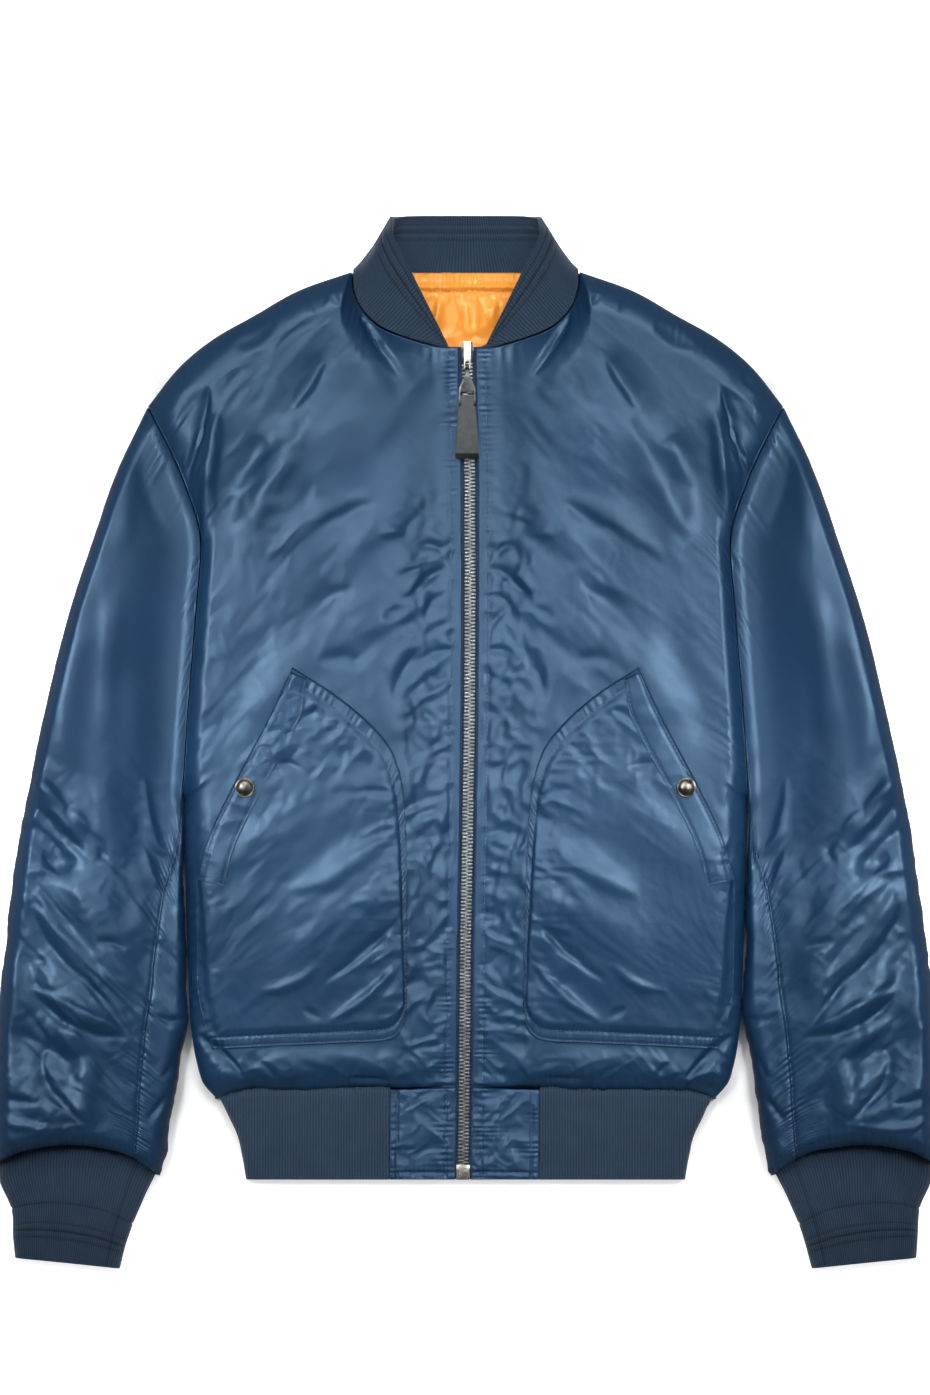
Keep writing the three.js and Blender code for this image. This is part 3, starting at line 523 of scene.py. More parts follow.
# outlines of one half, x counted from the middle of the zip, y up towards the collar
sizes = dict(
    gap=0.15, hemBottom=-328, frontEdge=6, foldZ=12, armholeZ=27, neckZ=20, knitZ=15, collarZ=24, bodyZ=36,
    sleeveZ=44, sideRoll=26, shoulderRoll=30, neckRoll=34, hemRoll=20, underRoll=12, middleRoll=50,
    sleeveRoll=15, cuffRoll=15, hemDrop=14, zipSeam=13.5)
sides = (("right", -1), ("left", 1))
neckPoint, shoulderPoint, armpit = (85.5, 353.5), (238.5, 252.2), (211.9, -43.3)
hemCorner, collarCorner = (186.8, -267.9), (56.6, 394.8)
neckSeam = Through([(6, 296.6), (22, 296.8), (49, 304.5), (66, 312), (79, 325), (85, 340), neckPoint])
shoulderLine = Through([neckPoint, (126, 339), (158.5, 320.6), (190, 302.5), (215, 281.6), shoulderPoint])
armholeLine = Through([
    shoulderPoint, (224.6, 226.7), (211, 196.7), (198.5, 156), (201.2, 103), (208, 20), armpit])
sideLine = Through([armpit, (211, -88), (208, -180), (206.5, -212), (198.4, -253), hemCorner])
hemSeam = Through([(6, -258.5), (56.3, -260), (113.6, -261.3), (165.4, -262), hemCorner])
sleeveOutside = Through([
    shoulderPoint, (261, 205), (276, 163), (299.2, 91.8), (320, 4.5), (334.6, -71.8), (345, -150),
    (353, -230), (353.6, -317)])
sleeveInside = Through([
    (212.8, -43.3), (212.2, -88), (209.4, -180), (208.6, -207), (214.5, -236), (224.6, -307),
    (229.5, -325.4)])
cuffSeam = Through([
    (353.6, -317), (332.9, -307), (300.4, -302), (262, -306.4), (248, -313.4), (229.5, -325.4)])
zipDrift = [
    (-330, -1.9), (-270, -1.1), (-150, 0), (-70, 1.5), (30, 3), (110, 3.4), (200, 3.2), (290, 1.1),
    (310, 1.1)]
zipRise = [(-330, 14.5), (-266, 15), (-200, 20.5), (-60, 25), (80, 24), (190, 20.4), (230, 20), (310, 20)]


def zipX(y):
    return along(zipDrift, y)


def zipZ(y):
    return along(zipRise, y)


def drift(x, y):
    # how far a half point goes with the zip's wander: all of it beside the zip, none of it past 110 mm
    return zipX(y) * smooth((110 - x) / 100)


def armholeFace(t):
    return sizes["foldZ"] + (sizes["armholeZ"] - sizes["foldZ"]) * quarter(t, 0.1) * quarter(1 - t, 0.08)


def armholeGround(t):
    return sizes["foldZ"] * (1 - quarter(t, 0.05) * quarter(1 - t, 0.05))


def sideFold(y):
    return mix(sizes["knitZ"] / 2, sizes["foldZ"], smooth((y - hemCorner[1]) / 45))


def onSide(side, points):
    # half points on their own side
    x, y, z = points[..., 0], points[..., 1], points[..., 2]
    return np.stack([side * x + drift(x, y), y, z], -1)


def grid(cols, rows, ring=False):
    u = np.arange(cols) / cols if ring else np.linspace(0, 1, cols + 1)
    return np.meshgrid(u, np.linspace(0, 1, rows + 1))


def toEdge(u, v, width, height):
    # the way to the nearest edge of a width x height patch
    return np.minimum(np.minimum(u, 1 - u) * width, np.minimum(v, 1 - v) * height)


# fronts
frontTop, frontSide = Joined(neckSeam, shoulderLine), Joined(armholeLine, sideLine)
frontMiddle = lambda v: np.stack([np.full_like(v, sizes["frontEdge"]), mix(296.6, -258.5, v)], -1)
frontPatch = patch(frontTop, hemSeam, frontMiddle, frontSide)
# the layers of small relief are kind, rise, size, turn and stretch; the puckers are rise, pitch and reach
frontSettings = dict(
    cols=162, rows=410, thick=3, foldShare=0.5, seamDepth=0.9, lipRise=1.1,
    wide=(crumple, 0.5, 30, -0.75, 2.2), streaks=(crumple, 0.3, 9, -0.85, 3.5), net=(crinkle, 0.65, 15, -0.7),
    zipNet=(crinkle, 2.0, 11, -0.5), sideNet=(crinkle, 1.0, 10, -0.9),
    hemNet=(crinkle, 1.6, 12, 0.6), hemWide=(crumple, 1.2, 26, 0.15, 1.6),
    zipPucker=(0.6, 4.6, 4), sidePucker=(0.8, 8, 13), topPucker=(0.9, 7, 12), hemPucker=(0.8, 5.5, 9))


def frontPlan(u, v):
    near = np.where(u < frontTop.turn, u / frontTop.turn, (1 - u) / (1 - frontTop.turn))
    plan = frontPatch(u, v)
    plan[..., 0] += 26 * near * (1 - (1 - v) ** 14) * (1 - v)
    return plan


def frontSpans(u, v):
    return frontSide(v)[..., 0] - sizes["frontEdge"], frontTop(u)[..., 1] - hemSeam(u)[..., 1]


# x0, y0, x1, y1, bow, width, rise
bodyFolds = [
    (185, 250, 196, 196, 0, 7, 5), (200, 262, 214, 215, 2, 9, -3.5), (106, 292, 134, 236, 6, 10, -4),
    (80, 300, 48, 262, -3, 8, -4), (146, 232, 176, 160, 5, 16, -5), (118, 240, 158, 150, 8, 18, 4.5),
    (88, 250, 120, 190, 0, 14, 2.5), (40, 232, 96, 150, 10, 15, -3.5), (30, 190, 100, 110, 8, 12, 3.5),
    (60, 150, 130, 70, 8, 14, -3.5), (24, 130, 70, 82, -6, 8, 3), (26, 96, 84, 60, 6, 8, -3),
    (110, 96, 168, 20, -8, 18, 3.5), (150, 90, 188, 0, -4, 14, -3), (20, 40, 60, 8, 4, 7, 2.5),
    (46, -60, 150, -120, 10, 16, -3), (50, -110, 140, -175, 8, 16, 3.2), (52, -170, 110, -205, 5, 10, -2.5),
    (120, -40, 190, -90, -6, 14, 2.5), (70, -236, 150, -240, 0, 7, 2.5)]
# start, middle and end of each crease in mm, half width, rise (below 0 a trough), lean
bodyCreases = [
    (78.4, 322.2, 66.4, 301.2, 49.1, 273.5, 3.8, -3.5, 0.3),
    (105.4, 287.8, 117.4, 268.2, 127.9, 251, 5, -2.2, 0.3),
    (142.1, 313.2, 156.4, 305, 170.6, 295.2, 6.8, -2, 0),
    (121.1, 337.2, 118.1, 328.2, 114.4, 320.8, 2.2, -1.2, 0),
    (99.4, 335.8, 96.4, 331.2, 93.4, 326.8, 2.2, -1.2, 0),
    (190.9, 266, 196.9, 240.5, 201.4, 221, 3.8, -3.5, 0.2),
    (210.4, 280.2, 211.1, 273.5, 211.9, 266, 3, -1.5, 0),
    (185.6, 246.5, 193.1, 197.8, 196.9, 138.5, 5.2, 3.5, -0.2),
    (196.9, 236, 204.4, 215.8, 208.9, 194.8, 3, -3, 0),
    (118.1, 240.5, 145.1, 197, 170.6, 154.2, 12, 3, 0.2),
    (151.1, 228.5, 161.6, 210.5, 172.1, 191.8, 10, -1.8, 0),
    (71.6, 185.8, 110.6, 168.5, 148.1, 137, 8, 2, 0.3), (68.6, 182, 97.9, 167, 118.1, 150.5, 6, -1.1, 0),
    (67.1, 154.2, 57.4, 158.8, 47.6, 157.2, 3.8, 1.5, 0),
    (37.1, 144.5, 28.9, 148.2, 19.1, 141.5, 3, -1.5, 0),
    (16.1, 131.8, 31.1, 124.2, 48.4, 104.8, 3.8, -3, 0.3), (34.1, 129.5, 43.1, 120.5, 50.6, 110, 3.8, 2, 0),
    (16.1, 113, 28.9, 105.5, 32.6, 94.2, 3, -1.8, 0), (51.4, 102.5, 58.1, 98, 65.6, 95, 3.8, -1.5, 0),
    (85.1, 116.8, 107.6, 104, 124.1, 83.8, 6.8, -2, 0), (108.4, 59, 94.9, 63.5, 79.9, 59, 6, -2, 0),
    (12.4, 68, 22.9, 69.5, 31.9, 63.5, 3, -1.5, 0), (35.6, 73.2, 48.4, 56.8, 55.9, 32, 4.5, -2.5, 0.3),
    (12.4, 48.5, 22.9, 45.5, 29.6, 38, 3, -1.5, 0),
    (199.9, -218.5, 181.1, -234.2, 165.4, -251.5, 3.8, -3.5, 0.3),
    (152.6, -240.2, 146.6, -245.5, 142.1, -253, 2.2, -1.5, 0),
    (89.6, -251.5, 73.1, -252.2, 56.6, -251.5, 2.2, -1.5, 0)]
pocketCreases = [
    (134.6, 7.2, 122.6, 18.5, 109.1, 26.8, 3.8, -1.5, 0),
    (141.4, -15.2, 131.6, -16, 121.9, -19.8, 3, -1.5, 0),
    (55.1, -40.8, 67.1, -36.2, 79.9, -34.8, 3, -1.5, 0), (53.6, -66.2, 90.4, -94, 130.9, -112, 9, 2.2, 0.3),
    (53.6, -133, 74.6, -155.5, 105.4, -179.5, 3.8, -2.2, 0.3),
    (53.6, -169, 74.6, -190.8, 100.9, -208.8, 3.8, 2, 0),
    (109.9, -165.2, 127.9, -179.5, 151.9, -186.2, 4.5, 1.6, 0),
    (120.4, -198.2, 114.4, -202, 107.6, -207.2, 3, -1.2, 0)]
sleeveCreases = [
    (240.4, -25.8, 234.4, -69.2, 218.6, -82.8, 4.5, 2.5, 0),
    (240.4, -80.5, 235.1, -97, 229.1, -109.8, 3.8, 2, 0),
    (327.4, -25.8, 313.1, -35.5, 298.1, -49, 4.5, 2.5, 0),
    (328.9, -40.8, 307.9, -61.8, 278.6, -89.5, 4.5, -2.5, 0),
    (278.6, -89.5, 271.1, -80.5, 281.6, -66.2, 3.8, -2, 0),
    (281.6, -66.2, 289.1, -56.5, 296.6, -49.8, 3.8, 2, 0),
    (316.1, -82.8, 310.1, -89.5, 303.4, -98.5, 3.8, -2, 0),
    (332.6, -95.5, 319.1, -95.5, 305.6, -98.5, 3.8, 1.5, 0),
    (319.9, -108.2, 304.1, -140.5, 258.4, -187.8, 6, 3, 0.3),
    (326.6, -118, 310.1, -151.8, 266.6, -195.2, 4.5, -2.5, 0.2),
    (276.4, -148, 265.9, -149.5, 254.6, -153.2, 3.8, -2.5, 0),
    (326.6, -181.8, 299.6, -195.2, 256.1, -215.5, 4.5, 2.5, 0.3),
    (324.4, -184.8, 295.1, -211, 251.6, -220.8, 3.8, -2.5, 0),
    (334.1, -193, 322.1, -209.5, 311.6, -223.8, 3.8, -2, 0),
    (285.4, -172, 271.1, -194.5, 254.6, -214, 3.8, -2, 0),
    (313.1, -226.8, 313.9, -253, 283.9, -285.2, 4.5, -2.5, 0.2),
    (349.1, -265.8, 334.1, -268, 318.4, -269.5, 3.8, -2, 0),
    (349.1, -275.5, 326.6, -288.2, 283.9, -285.2, 3.8, 2, 0),
    (212.6, -225.2, 219.4, -241.8, 229.1, -251.5, 3, -2.5, 0),
    (219.4, -259.8, 229.1, -272.5, 238.9, -282.2, 3, -2.5, 0),
    (207.4, -202.8, 220.1, -208, 233.6, -202.8, 3, -2, 0)]


def frontHeight(u, v, plan):
    # level at the chest, less towards the zip and hem, rolled down to the hem, top, armhole and side
    x, y = plan[..., 0], plan[..., 1]
    across, down = frontSpans(u, v)
    foldZ, half = sizes["foldZ"], sizes["knitZ"] / 2
    z = sizes["bodyZ"] + frontSettings["foldShare"] * foldsAt(bodyFolds, x, y)
    z = mix(zipZ(y), z, smooth(u * across / sizes["middleRoll"]))
    z = rollTo(z, half + half * quarter((1 - u) * hemSeam.span, half), (1 - v) * down, sizes["hemRoll"])
    onNeck = u < frontTop.turn
    neckZ = foldZ + (sizes["neckZ"] - foldZ) * quarter((frontTop.turn - u) * frontTop.span, 14)
    topRise = np.where(onNeck, ease(v * down, sizes["neckRoll"]), quarter(v * down, sizes["shoulderRoll"]))
    z = mix(np.where(onNeck, neckZ, foldZ), z, topRise)
    z -= sizes["hemDrop"] * smooth((-90 - y) / 165) * smooth(u * across / 60)
    onArmhole = v < frontSide.turn
    edgeZ = np.where(onArmhole, armholeFace(v / frontSide.turn), sideFold(y))
    rise = np.where(onArmhole, ease((1 - u) * across, 18), quarter((1 - u) * across, sizes["sideRoll"]))
    return mix(edgeZ, z, rise)


def frontRelief(u, v, plan, side, seed):
    # listed creases, nets of small ones beside the zip, side and hem, and puckers along every seam
    s = frontSettings
    x, y = plan[..., 0], plan[..., 1]
    across, down = frontSpans(u, v)
    fromSide, fromHem, fromZipSeam = (1 - u) * across, (1 - v) * down, x - sizes["zipSeam"]
    shift = 1.6 * noise(x / 60, y / 60, seed) * (1 if side > 0 else -1)
    relief = creasesAt(bodyCreases, x + shift, y + shift * 0.7, seed)
    calm = smooth((noise(x / 75, y / 75, seed + 7) + 0.4) / 0.9)
    byZip = smooth((x - 9) / 6) * smooth((60 - x) / 20) * smooth((230 - y) / 100)
    bySide = smooth((40 - fromSide) / 30) * smooth((30 - y) / 90)
    byHem = smooth((36 - fromHem) / 20) * smooth((x - 20) / 30)
    relief += layer(s["wide"], x, y, seed + 10) * mix(0.4, 1, calm) * smooth((x - 14) / 12)
    relief += layer(s["streaks"], x, y, seed + 15) * mix(0.3, 1, calm)
    relief += layer(s["zipNet"], x, y, seed + 20) * byZip + layer(s["sideNet"], x, y, seed + 23) * bySide
    relief += layer(s["net"], x, y, seed + 26) * mix(0.3, 1, calm)
    relief += (layer(s["hemNet"], x, y, seed + 70) + layer(s["hemWide"], x, y, seed + 74)) * byHem
    relief += pucker(y, np.abs(fromZipSeam), seed + 30, *s["zipPucker"])
    relief += pucker(v * frontSide.span, fromSide, seed + 40, *s["sidePucker"])
    relief += pucker(u * frontTop.span, v * down, seed + 50, *s["topPucker"])
    relief += pucker(x, fromHem, seed + 60, *s["hemPucker"])
    relief -= s["seamDepth"] * bell(fromZipSeam, 1.3)
    relief += s["lipRise"] * bell(fromHem - 4, 3)
    return relief * smooth(toEdge(u, v, across, down) / 3)


frontGrids = {}
for sideName, side in sides:
    s = frontSettings
    u, v = grid(s["cols"], s["rows"])
    uu = mix(0, 1 - sizes["gap"] / hemSeam.span, 0.8 * u + 0.2 * crowdedLate(u))
    vv = mix(0.0003, 0.9997, crowdedEnds(v, 0.6))
    plan = frontPlan(uu, vv)
    z = frontHeight(uu, vv, plan) + sizes["gap"]
    base = onSide(side, np.concatenate([plan, z[..., None]], -1))
    piece, outer = clothWall("satinFront_" + sideName, base, s["thick"], navySatin, flip=side > 0,
                             relief=frontRelief(uu, vv, plan, side, 100 + side))
    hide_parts("front_" + sideName)
    frontGrids[sideName] = (outer, plan)
print("fronts made")


# back, flat on the ground
backSettings = dict(
    cols=100, rows=120, thick=3, neckShare=0.3, hemY=-262.5, sidePucker=(0.5, 8, 12), hemPucker=(0.5, 6, 9))


def backTop(u):
    # the neck over the middle share of the width, then the shoulders
    half, sign, share = 2 * np.abs(u - 0.5), np.sign(u - 0.5), backSettings["neckShare"]
    neckY = mix(351, neckPoint[1], np.minimum(half / share, 1) ** 4)
    neck = np.stack([sign * neckPoint[0] * half / share, neckY], -1)
    shoulder = shoulderLine((half - share) / (1 - share)) * np.stack([sign, np.ones_like(u)], -1)
    return np.where((half < share)[..., None], neck, shoulder)


def backHem(u):
    y = mix(backSettings["hemY"], hemCorner[1], (2 * (u - 0.5)) ** 8)
    return np.stack([mix(-hemCorner[0], hemCorner[0], u), y], -1)


backPlan = patch(backTop, backHem, lambda v: frontSide(v) * (-1, 1), frontSide)
u, v = grid(backSettings["cols"], backSettings["rows"])
uu, vv = mix(0.0004, 0.9996, crowdedEnds(u, 0.6)), mix(0.0004, 0.9985, crowdedEnds(v, 0.6))
plan = backPlan(uu, vv)
half = 2 * np.abs(uu - 0.5)
tall = backTop(uu)[..., 1] - backHem(uu)[..., 1]
sideZ = np.where(vv < frontSide.turn, armholeGround(vv / frontSide.turn), sideFold(plan[..., 1]))
hemZ = sizes["knitZ"] / 2 * (1 - quarter((1 - half) * hemCorner[0], sizes["knitZ"] / 2))
z = rollTo(0, sizes["foldZ"] * quarter(half - 0.22, 0.08), vv * tall, sizes["underRoll"])
z = rollTo(z, hemZ, (1 - vv) * tall, sizes["underRoll"])
z = rollTo(z, sideZ, (1 - half) * np.abs(frontSide(vv)[..., 0]), sizes["underRoll"])
base = np.concatenate([plan, np.maximum(0, z - sizes["gap"])[..., None]], -1)
fromSide = (1 - half) * 200
relief = pucker(vv * frontSide.span, fromSide, 301, *backSettings["sidePucker"])
relief += pucker(plan[..., 0], (1 - vv) * tall, 302, *backSettings["hemPucker"])
relief *= smooth(np.minimum(fromSide, np.minimum(vv, 1 - vv) * tall) / 3)
piece = clothWall("satinBack", base, backSettings["thick"], navySatin, relief=relief,
                  groundFlat=True)[0]
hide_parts("back")

# sleeves
seamOnFace = [(0, 0.975), (0.15, 0.95), (0.35, 0.84), (0.55, 0.79), (1, 0.825)]
seamOnGround = [(0, 0.94), (0.3, 0.8), (1, 0.76)]
sleeveFolds = [
    (296, 150, 312, 40, -4, 10, -2.2), (284, 120, 304, 0, 5, 12, 2.2), (262, 110, 268, 10, 3, 9, 1.6),
    (246, 226, 256, 150, 0, 8, 2), (233, 231, 213, 200, 0, 5, 2.5), (243, 215, 226, 160, 3, 6, -3),
    (262, 60, 246, -60, 4, 14, -2), (282, 90, 300, -20, 6, 14, 3), (320, -20, 290, -70, 4, 8, 4),
    (332, -60, 296, -96, -3, 8, -4), (228, -60, 240, -150, 6, 9, 4), (300, -100, 252, -190, -8, 15, 5),
    (340, -130, 300, -210, 5, 12, -4), (318, -170, 262, -214, 6, 10, 4), (336, -214, 284, -240, 3, 9, -4.5),
    (300, -196, 286, -290, -6, 10, 4), (345, -250, 296, -282, 4, 10, 3.5),
    (222, -216, 236, -290, -2, 6, -3)]
armholeAndInside = Joined(armholeLine, sleeveInside)
sleeveSettings = dict(
    outerCols=(108, 18), underCols=(26, 10), rows=380, thick=3, gap=0.0011,
    wide=(crumple, 1.3, 30, 0.8, 2.8), streaks=(crumple, 0.6, 9, 0.8, 4.5), net=(crinkle, 1.0, 12, 0.7),
    armholePucker=(1.0, 7, 13), cuffPucker=(1.0, 6, 11), seamPucker=(0.8, 7, 9), seamDepth=1.2, lipRise=0.9)


def sleevePlan(t, v):
    bend = lambda curve: curve(t) - mix(curve(np.zeros(1))[0], curve(np.ones(1))[0], t[..., None])
    plain = mix(sleeveOutside(v), sleeveInside(v), t[..., None])
    return plain + ((1 - v) ** 6)[..., None] * bend(armholeLine) + (v ** 4)[..., None] * bend(cuffSeam)


def sleeveAt(onFace, t, v, seed):
    # points and relief at shares t from the outside to the inside and v from the armhole to the cuff
    s = sleeveSettings
    vv = mix(0.0016, 0.9994, v)
    plan = sleevePlan(t, vv)
    x, y = plan[..., 0], plan[..., 1]
    across = np.linalg.norm(sleeveInside(vv) - sleeveOutside(vv), axis=-1)
    fromOutside, fromInside = t * across, (1 - t) * across
    long = mix(sleeveOutside.span, sleeveInside.span, t)
    fromArmhole, fromCuff = vv * long, (1 - vv) * long
    half = sizes["knitZ"] / 2
    fold = mix(half, sizes["foldZ"], smooth(fromCuff / 60))
    cuffRound = quarter(fromOutside, 8) * quarter(fromInside, 8)
    if onFace:
        # a low shelf along the armhole and the inside, and a slope from it up to the top
        top = sizes["sleeveZ"] + foldsAt(sleeveFolds, x, y) + 1.6 * noise(x / 34, y / 80, seed + 60)
        shelf, fromSeam = mix(23.5, 33, smooth((-60 - y) / 90)), distanceTo(armholeAndInside, x, y)
        z = fold + (shelf - fold) * quarter(fromInside, 14)
        z += (top - shelf) * smooth((fromSeam - 6) / (62 + 9 * noise(x / 90, y / 70, seed + 61)))
        z = fold + (z - fold) * quarter(fromOutside, sizes["sleeveRoll"])
        z = rollTo(z, half + half * cuffRound, fromCuff, sizes["cuffRoll"])
        z = mix(armholeFace(t), z, ease(distanceTo(armholeLine, x, y), 12))
        relief = creasesAt(sleeveCreases, x, y, seed) * smooth(np.minimum(fromOutside, fromInside) / 10)
    else:
        z = fold * (1 - quarter(fromOutside, sizes["underRoll"]) * quarter(fromInside, sizes["underRoll"]))
        z = rollTo(z, half * (1 - cuffRound), fromCuff, 8)
        z = np.maximum(0, rollTo(z, armholeGround(t), fromArmhole, sizes["underRoll"]))
        relief = np.zeros_like(x)
    low = smooth((40 - y) / 180)
    relief += layer(s["wide"], x, y, seed + 10) * mix(0.2, 1, low)
    relief += layer(s["streaks"], x, y, seed + 15) * mix(0.2, 1, low)
    relief += layer(s["net"], x, y, seed + 20) * mix(0.1, 1, low)
    armholePucker = pucker(t * 300, fromArmhole, seed + 30, *s["armholePucker"])
    relief += armholePucker + pucker(t * 150, fromCuff, seed + 40, *s["cuffPucker"])
    relief += s["lipRise"] * bell(fromCuff - 4, 3)
    return np.stack([x, y, z], -1), relief * smooth(np.minimum(vv, 1 - vv) * long / 3)


def sleevePiece(outerPiece, seed):
    # one piece of a sleeve: its columns run over the face from its own seam and on over the ground side
    s = sleeveSettings
    face, ground = s["outerCols"] if outerPiece else s["underCols"]
    parts = []
    for onFace, count, table in ((True, face, seamOnFace), (False, ground, seamOnGround)):
        steps = np.linspace(0, 1, count + 1)
        share, v = np.meshgrid(steps[:-1] if onFace else steps, np.linspace(0, 1, s["rows"] + 1))
        row = crowdedEnds(v, 0.5)
        seam = along(table, row)
        if outerPiece:
            t = (seam - s["gap"]) * (1 - (0.5 * share + 0.5 * crowdedLate(share)) if onFace else share ** 1.4)
        else:
            t = 1 - (1 - seam - s["gap"]) * ((1 - share) ** 1.4 if onFace else share ** 1.4)
        points, relief = sleeveAt(onFace, t, row, seed)
        if onFace:  # the seam between the two pieces draws the cloth in
            long = np.abs(t - seam) * np.linalg.norm(sleeveInside(row) - sleeveOutside(row), axis=-1)
            drawn = pucker(v * 560, long, seed + 50, *s["seamPucker"]) - s["seamDepth"] * bell(long, 2.2)
            relief += drawn * smooth(row * 12)
        else:
            relief *= smooth(points[..., 2] / 2)
        parts.append((points, relief))
    return [np.concatenate([a, b], 1) for a, b in zip(*parts)]


sleevePieces = ((True, "satinSleeve_", "sleeve_outer_"), (False, "satinUnderSleeve_", "sleeve_under_"))
for sideName, side in sides:
    for outerPiece, name, replaced in sleevePieces:
        base, relief = sleevePiece(outerPiece, 400 + (20 if side > 0 else 0))
        piece = clothWall(name + sideName, onSide(side, base), sleeveSettings["thick"], navySatin,
                          flip=(side > 0) == outerPiece, relief=relief, groundFlat=True)[0]
        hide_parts(replaced + sideName)
print("sleeves made")

# knit cuffs, hem band and collar; their UV is millimetres across the ribs and along them
cuffSettings = dict(
    cols=130, rows=92, thick=3.5, tuck=2.5, long=84, welts=[(0.695, 0.75), (0.755, 0.807)], weltRise=1.4,
    line=(0.5, 0.545), fold=0.868)
cuffBottom = Through([(338.6, -386.8), (299, -390.7), (260, -394.75)])
cuffOutside = Through([(350.8, -314.5), (349.5, -330), (341, -350.7), (339.6, -371.7), (338.6, -386.8)])
cuffInside = Through([(232.3, -322.9), (243.4, -346), (251.6, -365.6), (260, -394.75)])
# its upper edge lies inside the sleeve's end: the seam line made 4.5% narrower and moved up
cuffTop = lambda t: cuffSeam(t) * (0.955, 1) + (13.1, cuffSettings["tuck"])
cuffPlan = patch(cuffTop, cuffBottom, cuffOutside, cuffInside)


def welt(v, centre, half, high):
    # a raised round rib: the square root of 1 - d^2 over its half width
    return high * np.sqrt(np.maximum(0, 1 - ((v - centre) / half) ** 2))


for sideName, side in sides:
    s = cuffSettings
    u, v = grid(s["cols"], s["rows"], ring=True)
    t = (1 - np.cos(2 * np.pi * u)) / 2
    plan = cuffPlan(t, v)
    across = np.linalg.norm(cuffInside(v) - cuffOutside(v), axis=-1)
    half = sizes["knitZ"] / 2
    high = half * quarter(t * across, half) * quarter((1 - t) * across, half)
    high *= mix(0.6, 1, smooth(v * s["long"] / 6))
    base = np.concatenate([plan, np.where(u < 0.5, half + high, half - high)[..., None]], -1)
    # between, above and below the welts, along the line over them, and down the fold beside the inside
    apart, fromLine = (v - mix(0.725, 0.7785, t)) * s["long"], v - mix(*s["line"], t)
    fromFold = (t - s["fold"]) * across
    relief, insideFolds = np.zeros_like(u), smooth(np.minimum(t, 1 - t) * across / 9)
    for left, right in s["welts"]:
        relief += welt(v, mix(left, right, t), 0.026, s["weltRise"]) * insideFolds
    relief -= 0.8 * bell(fromLine, 0.012)
    relief -= 0.5 * bell(fromFold, 0.9) * (u < 0.5)
    relief += 0.35 * noise(t * 9, v * 5, 510 + side) * smooth(v * 4)
    relief = np.where(base[..., 2] < 1.5, 0, relief)
    # painted shade in the knit's hollows: between and beside the welts, along the line over them and down the
    # fold beside the inside
    grooveShade = 0.75 * bell(apart, 0.9) + 0.45 * bell(np.abs(apart) - 5, 0.8)
    grooveShade += 0.5 * bell(fromLine * s["long"], 0.7)
    grooveShade += 0.6 * bell(fromFold, 0.8) * (u < 0.5)
    uv = np.stack([np.where(u < 0.5, t, 2 - t) * 110, v * s["long"]], -1)
    piece = clothWall("knitCuff_" + sideName, onSide(side, base), s["thick"], navyKnit, flip=side < 0,
                      ring=True, relief=relief, uv=uv, groundFlat=True, grooveShade=np.clip(grooveShade, 0, 0.85))[0]
    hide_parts("cuff_" + sideName)

bandSide = Through([(185.4, -266), (178.3, -280), (171.1, -295), (167.5, -311), (165.2, -328)])
bandSettings = dict(
    cols=300, rows=40, thick=3.5, long=66, tuck=2, turn=0.56, endPanel=50, apart=0.3, pucker=(0.5, 5, 9),
    seamDepth=0.8)
endPanel = bandSettings["endPanel"]


def bandAt(u, v):
    # from one end panel over the face to the side fold, round the back and on to the other panel
    s = bandSettings
    side, middle, turn = bandSide(v)[..., 0], sizes["knitZ"] / 2, s["turn"]
    sign = np.where(u < 0.5, -1.0, 1.0)
    half = 2 * np.abs(u - 0.5)
    back = side * (1 - (1 - np.minimum(half / turn, 1)) ** 1.5)
    panelX = endPanel + sizes["frontEdge"] + s["apart"]
    face = mix(side, panelX, np.clip((half - turn) / (1 - turn), 0, 1) ** 1.5)
    onBack = half < turn
    x = np.where(onBack, back, face)
    faceTop = hemSeam((x - sizes["frontEdge"]) / (side - sizes["frontEdge"]))[..., 1] + s["tuck"]
    backTopY = mix(backSettings["hemY"], hemCorner[1], np.clip(x / side, 0, 1) ** 8) + s["tuck"]
    rise = middle * quarter(side - x, middle) * mix(0.6, 1, smooth(v * s["long"] / 6))
    y = mix(np.where(onBack, backTopY, faceTop), sizes["hemBottom"], v)
    z = np.where(onBack, middle - rise, middle + rise)
    return np.stack([sign * x + np.where(onBack, 0, drift(x, y)), y, z], -1), onBack


s = bandSettings
u, v = grid(s["cols"], s["rows"])
base, onBack = bandAt(u, v)
down = v * s["long"]
relief = 0.5 * noise(base[..., 0] / 30, v * 3, 520) + pucker(base[..., 0], down, 521, *s["pucker"])
relief -= s["seamDepth"] * bell(down, 2)
relief = np.where(onBack, 0, relief) * smooth(down / 1.5 + 0.3)
uv = np.stack([np.where(onBack, 0, 400) + base[..., 0], down], -1)
piece = clothWall("knitHemBand", base, s["thick"], navyKnit, relief=relief, uv=uv, groundFlat=True)[0]
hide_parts("hem_band")

collarFold = Through([(84.6, 355.6), (78, 362), (70.1, 373), collarCorner])
collarSeam = Through([(22, 298), (48.6, 306), (65.6, 313.8), (78, 326.6), (83.6, 341), (84.2, 355.6)])
collarEdge = Through([(13.9, 297.8), (40.9, 352), (54, 380), collarCorner])
collarSettings = dict(cols=216, rows=50, thick=3.2, long=42, turn=0.5, backSeam=351.4, backRise=1.1,
                      weltRise=1.5, weltHalf=0.05, besideWelt=0.065)


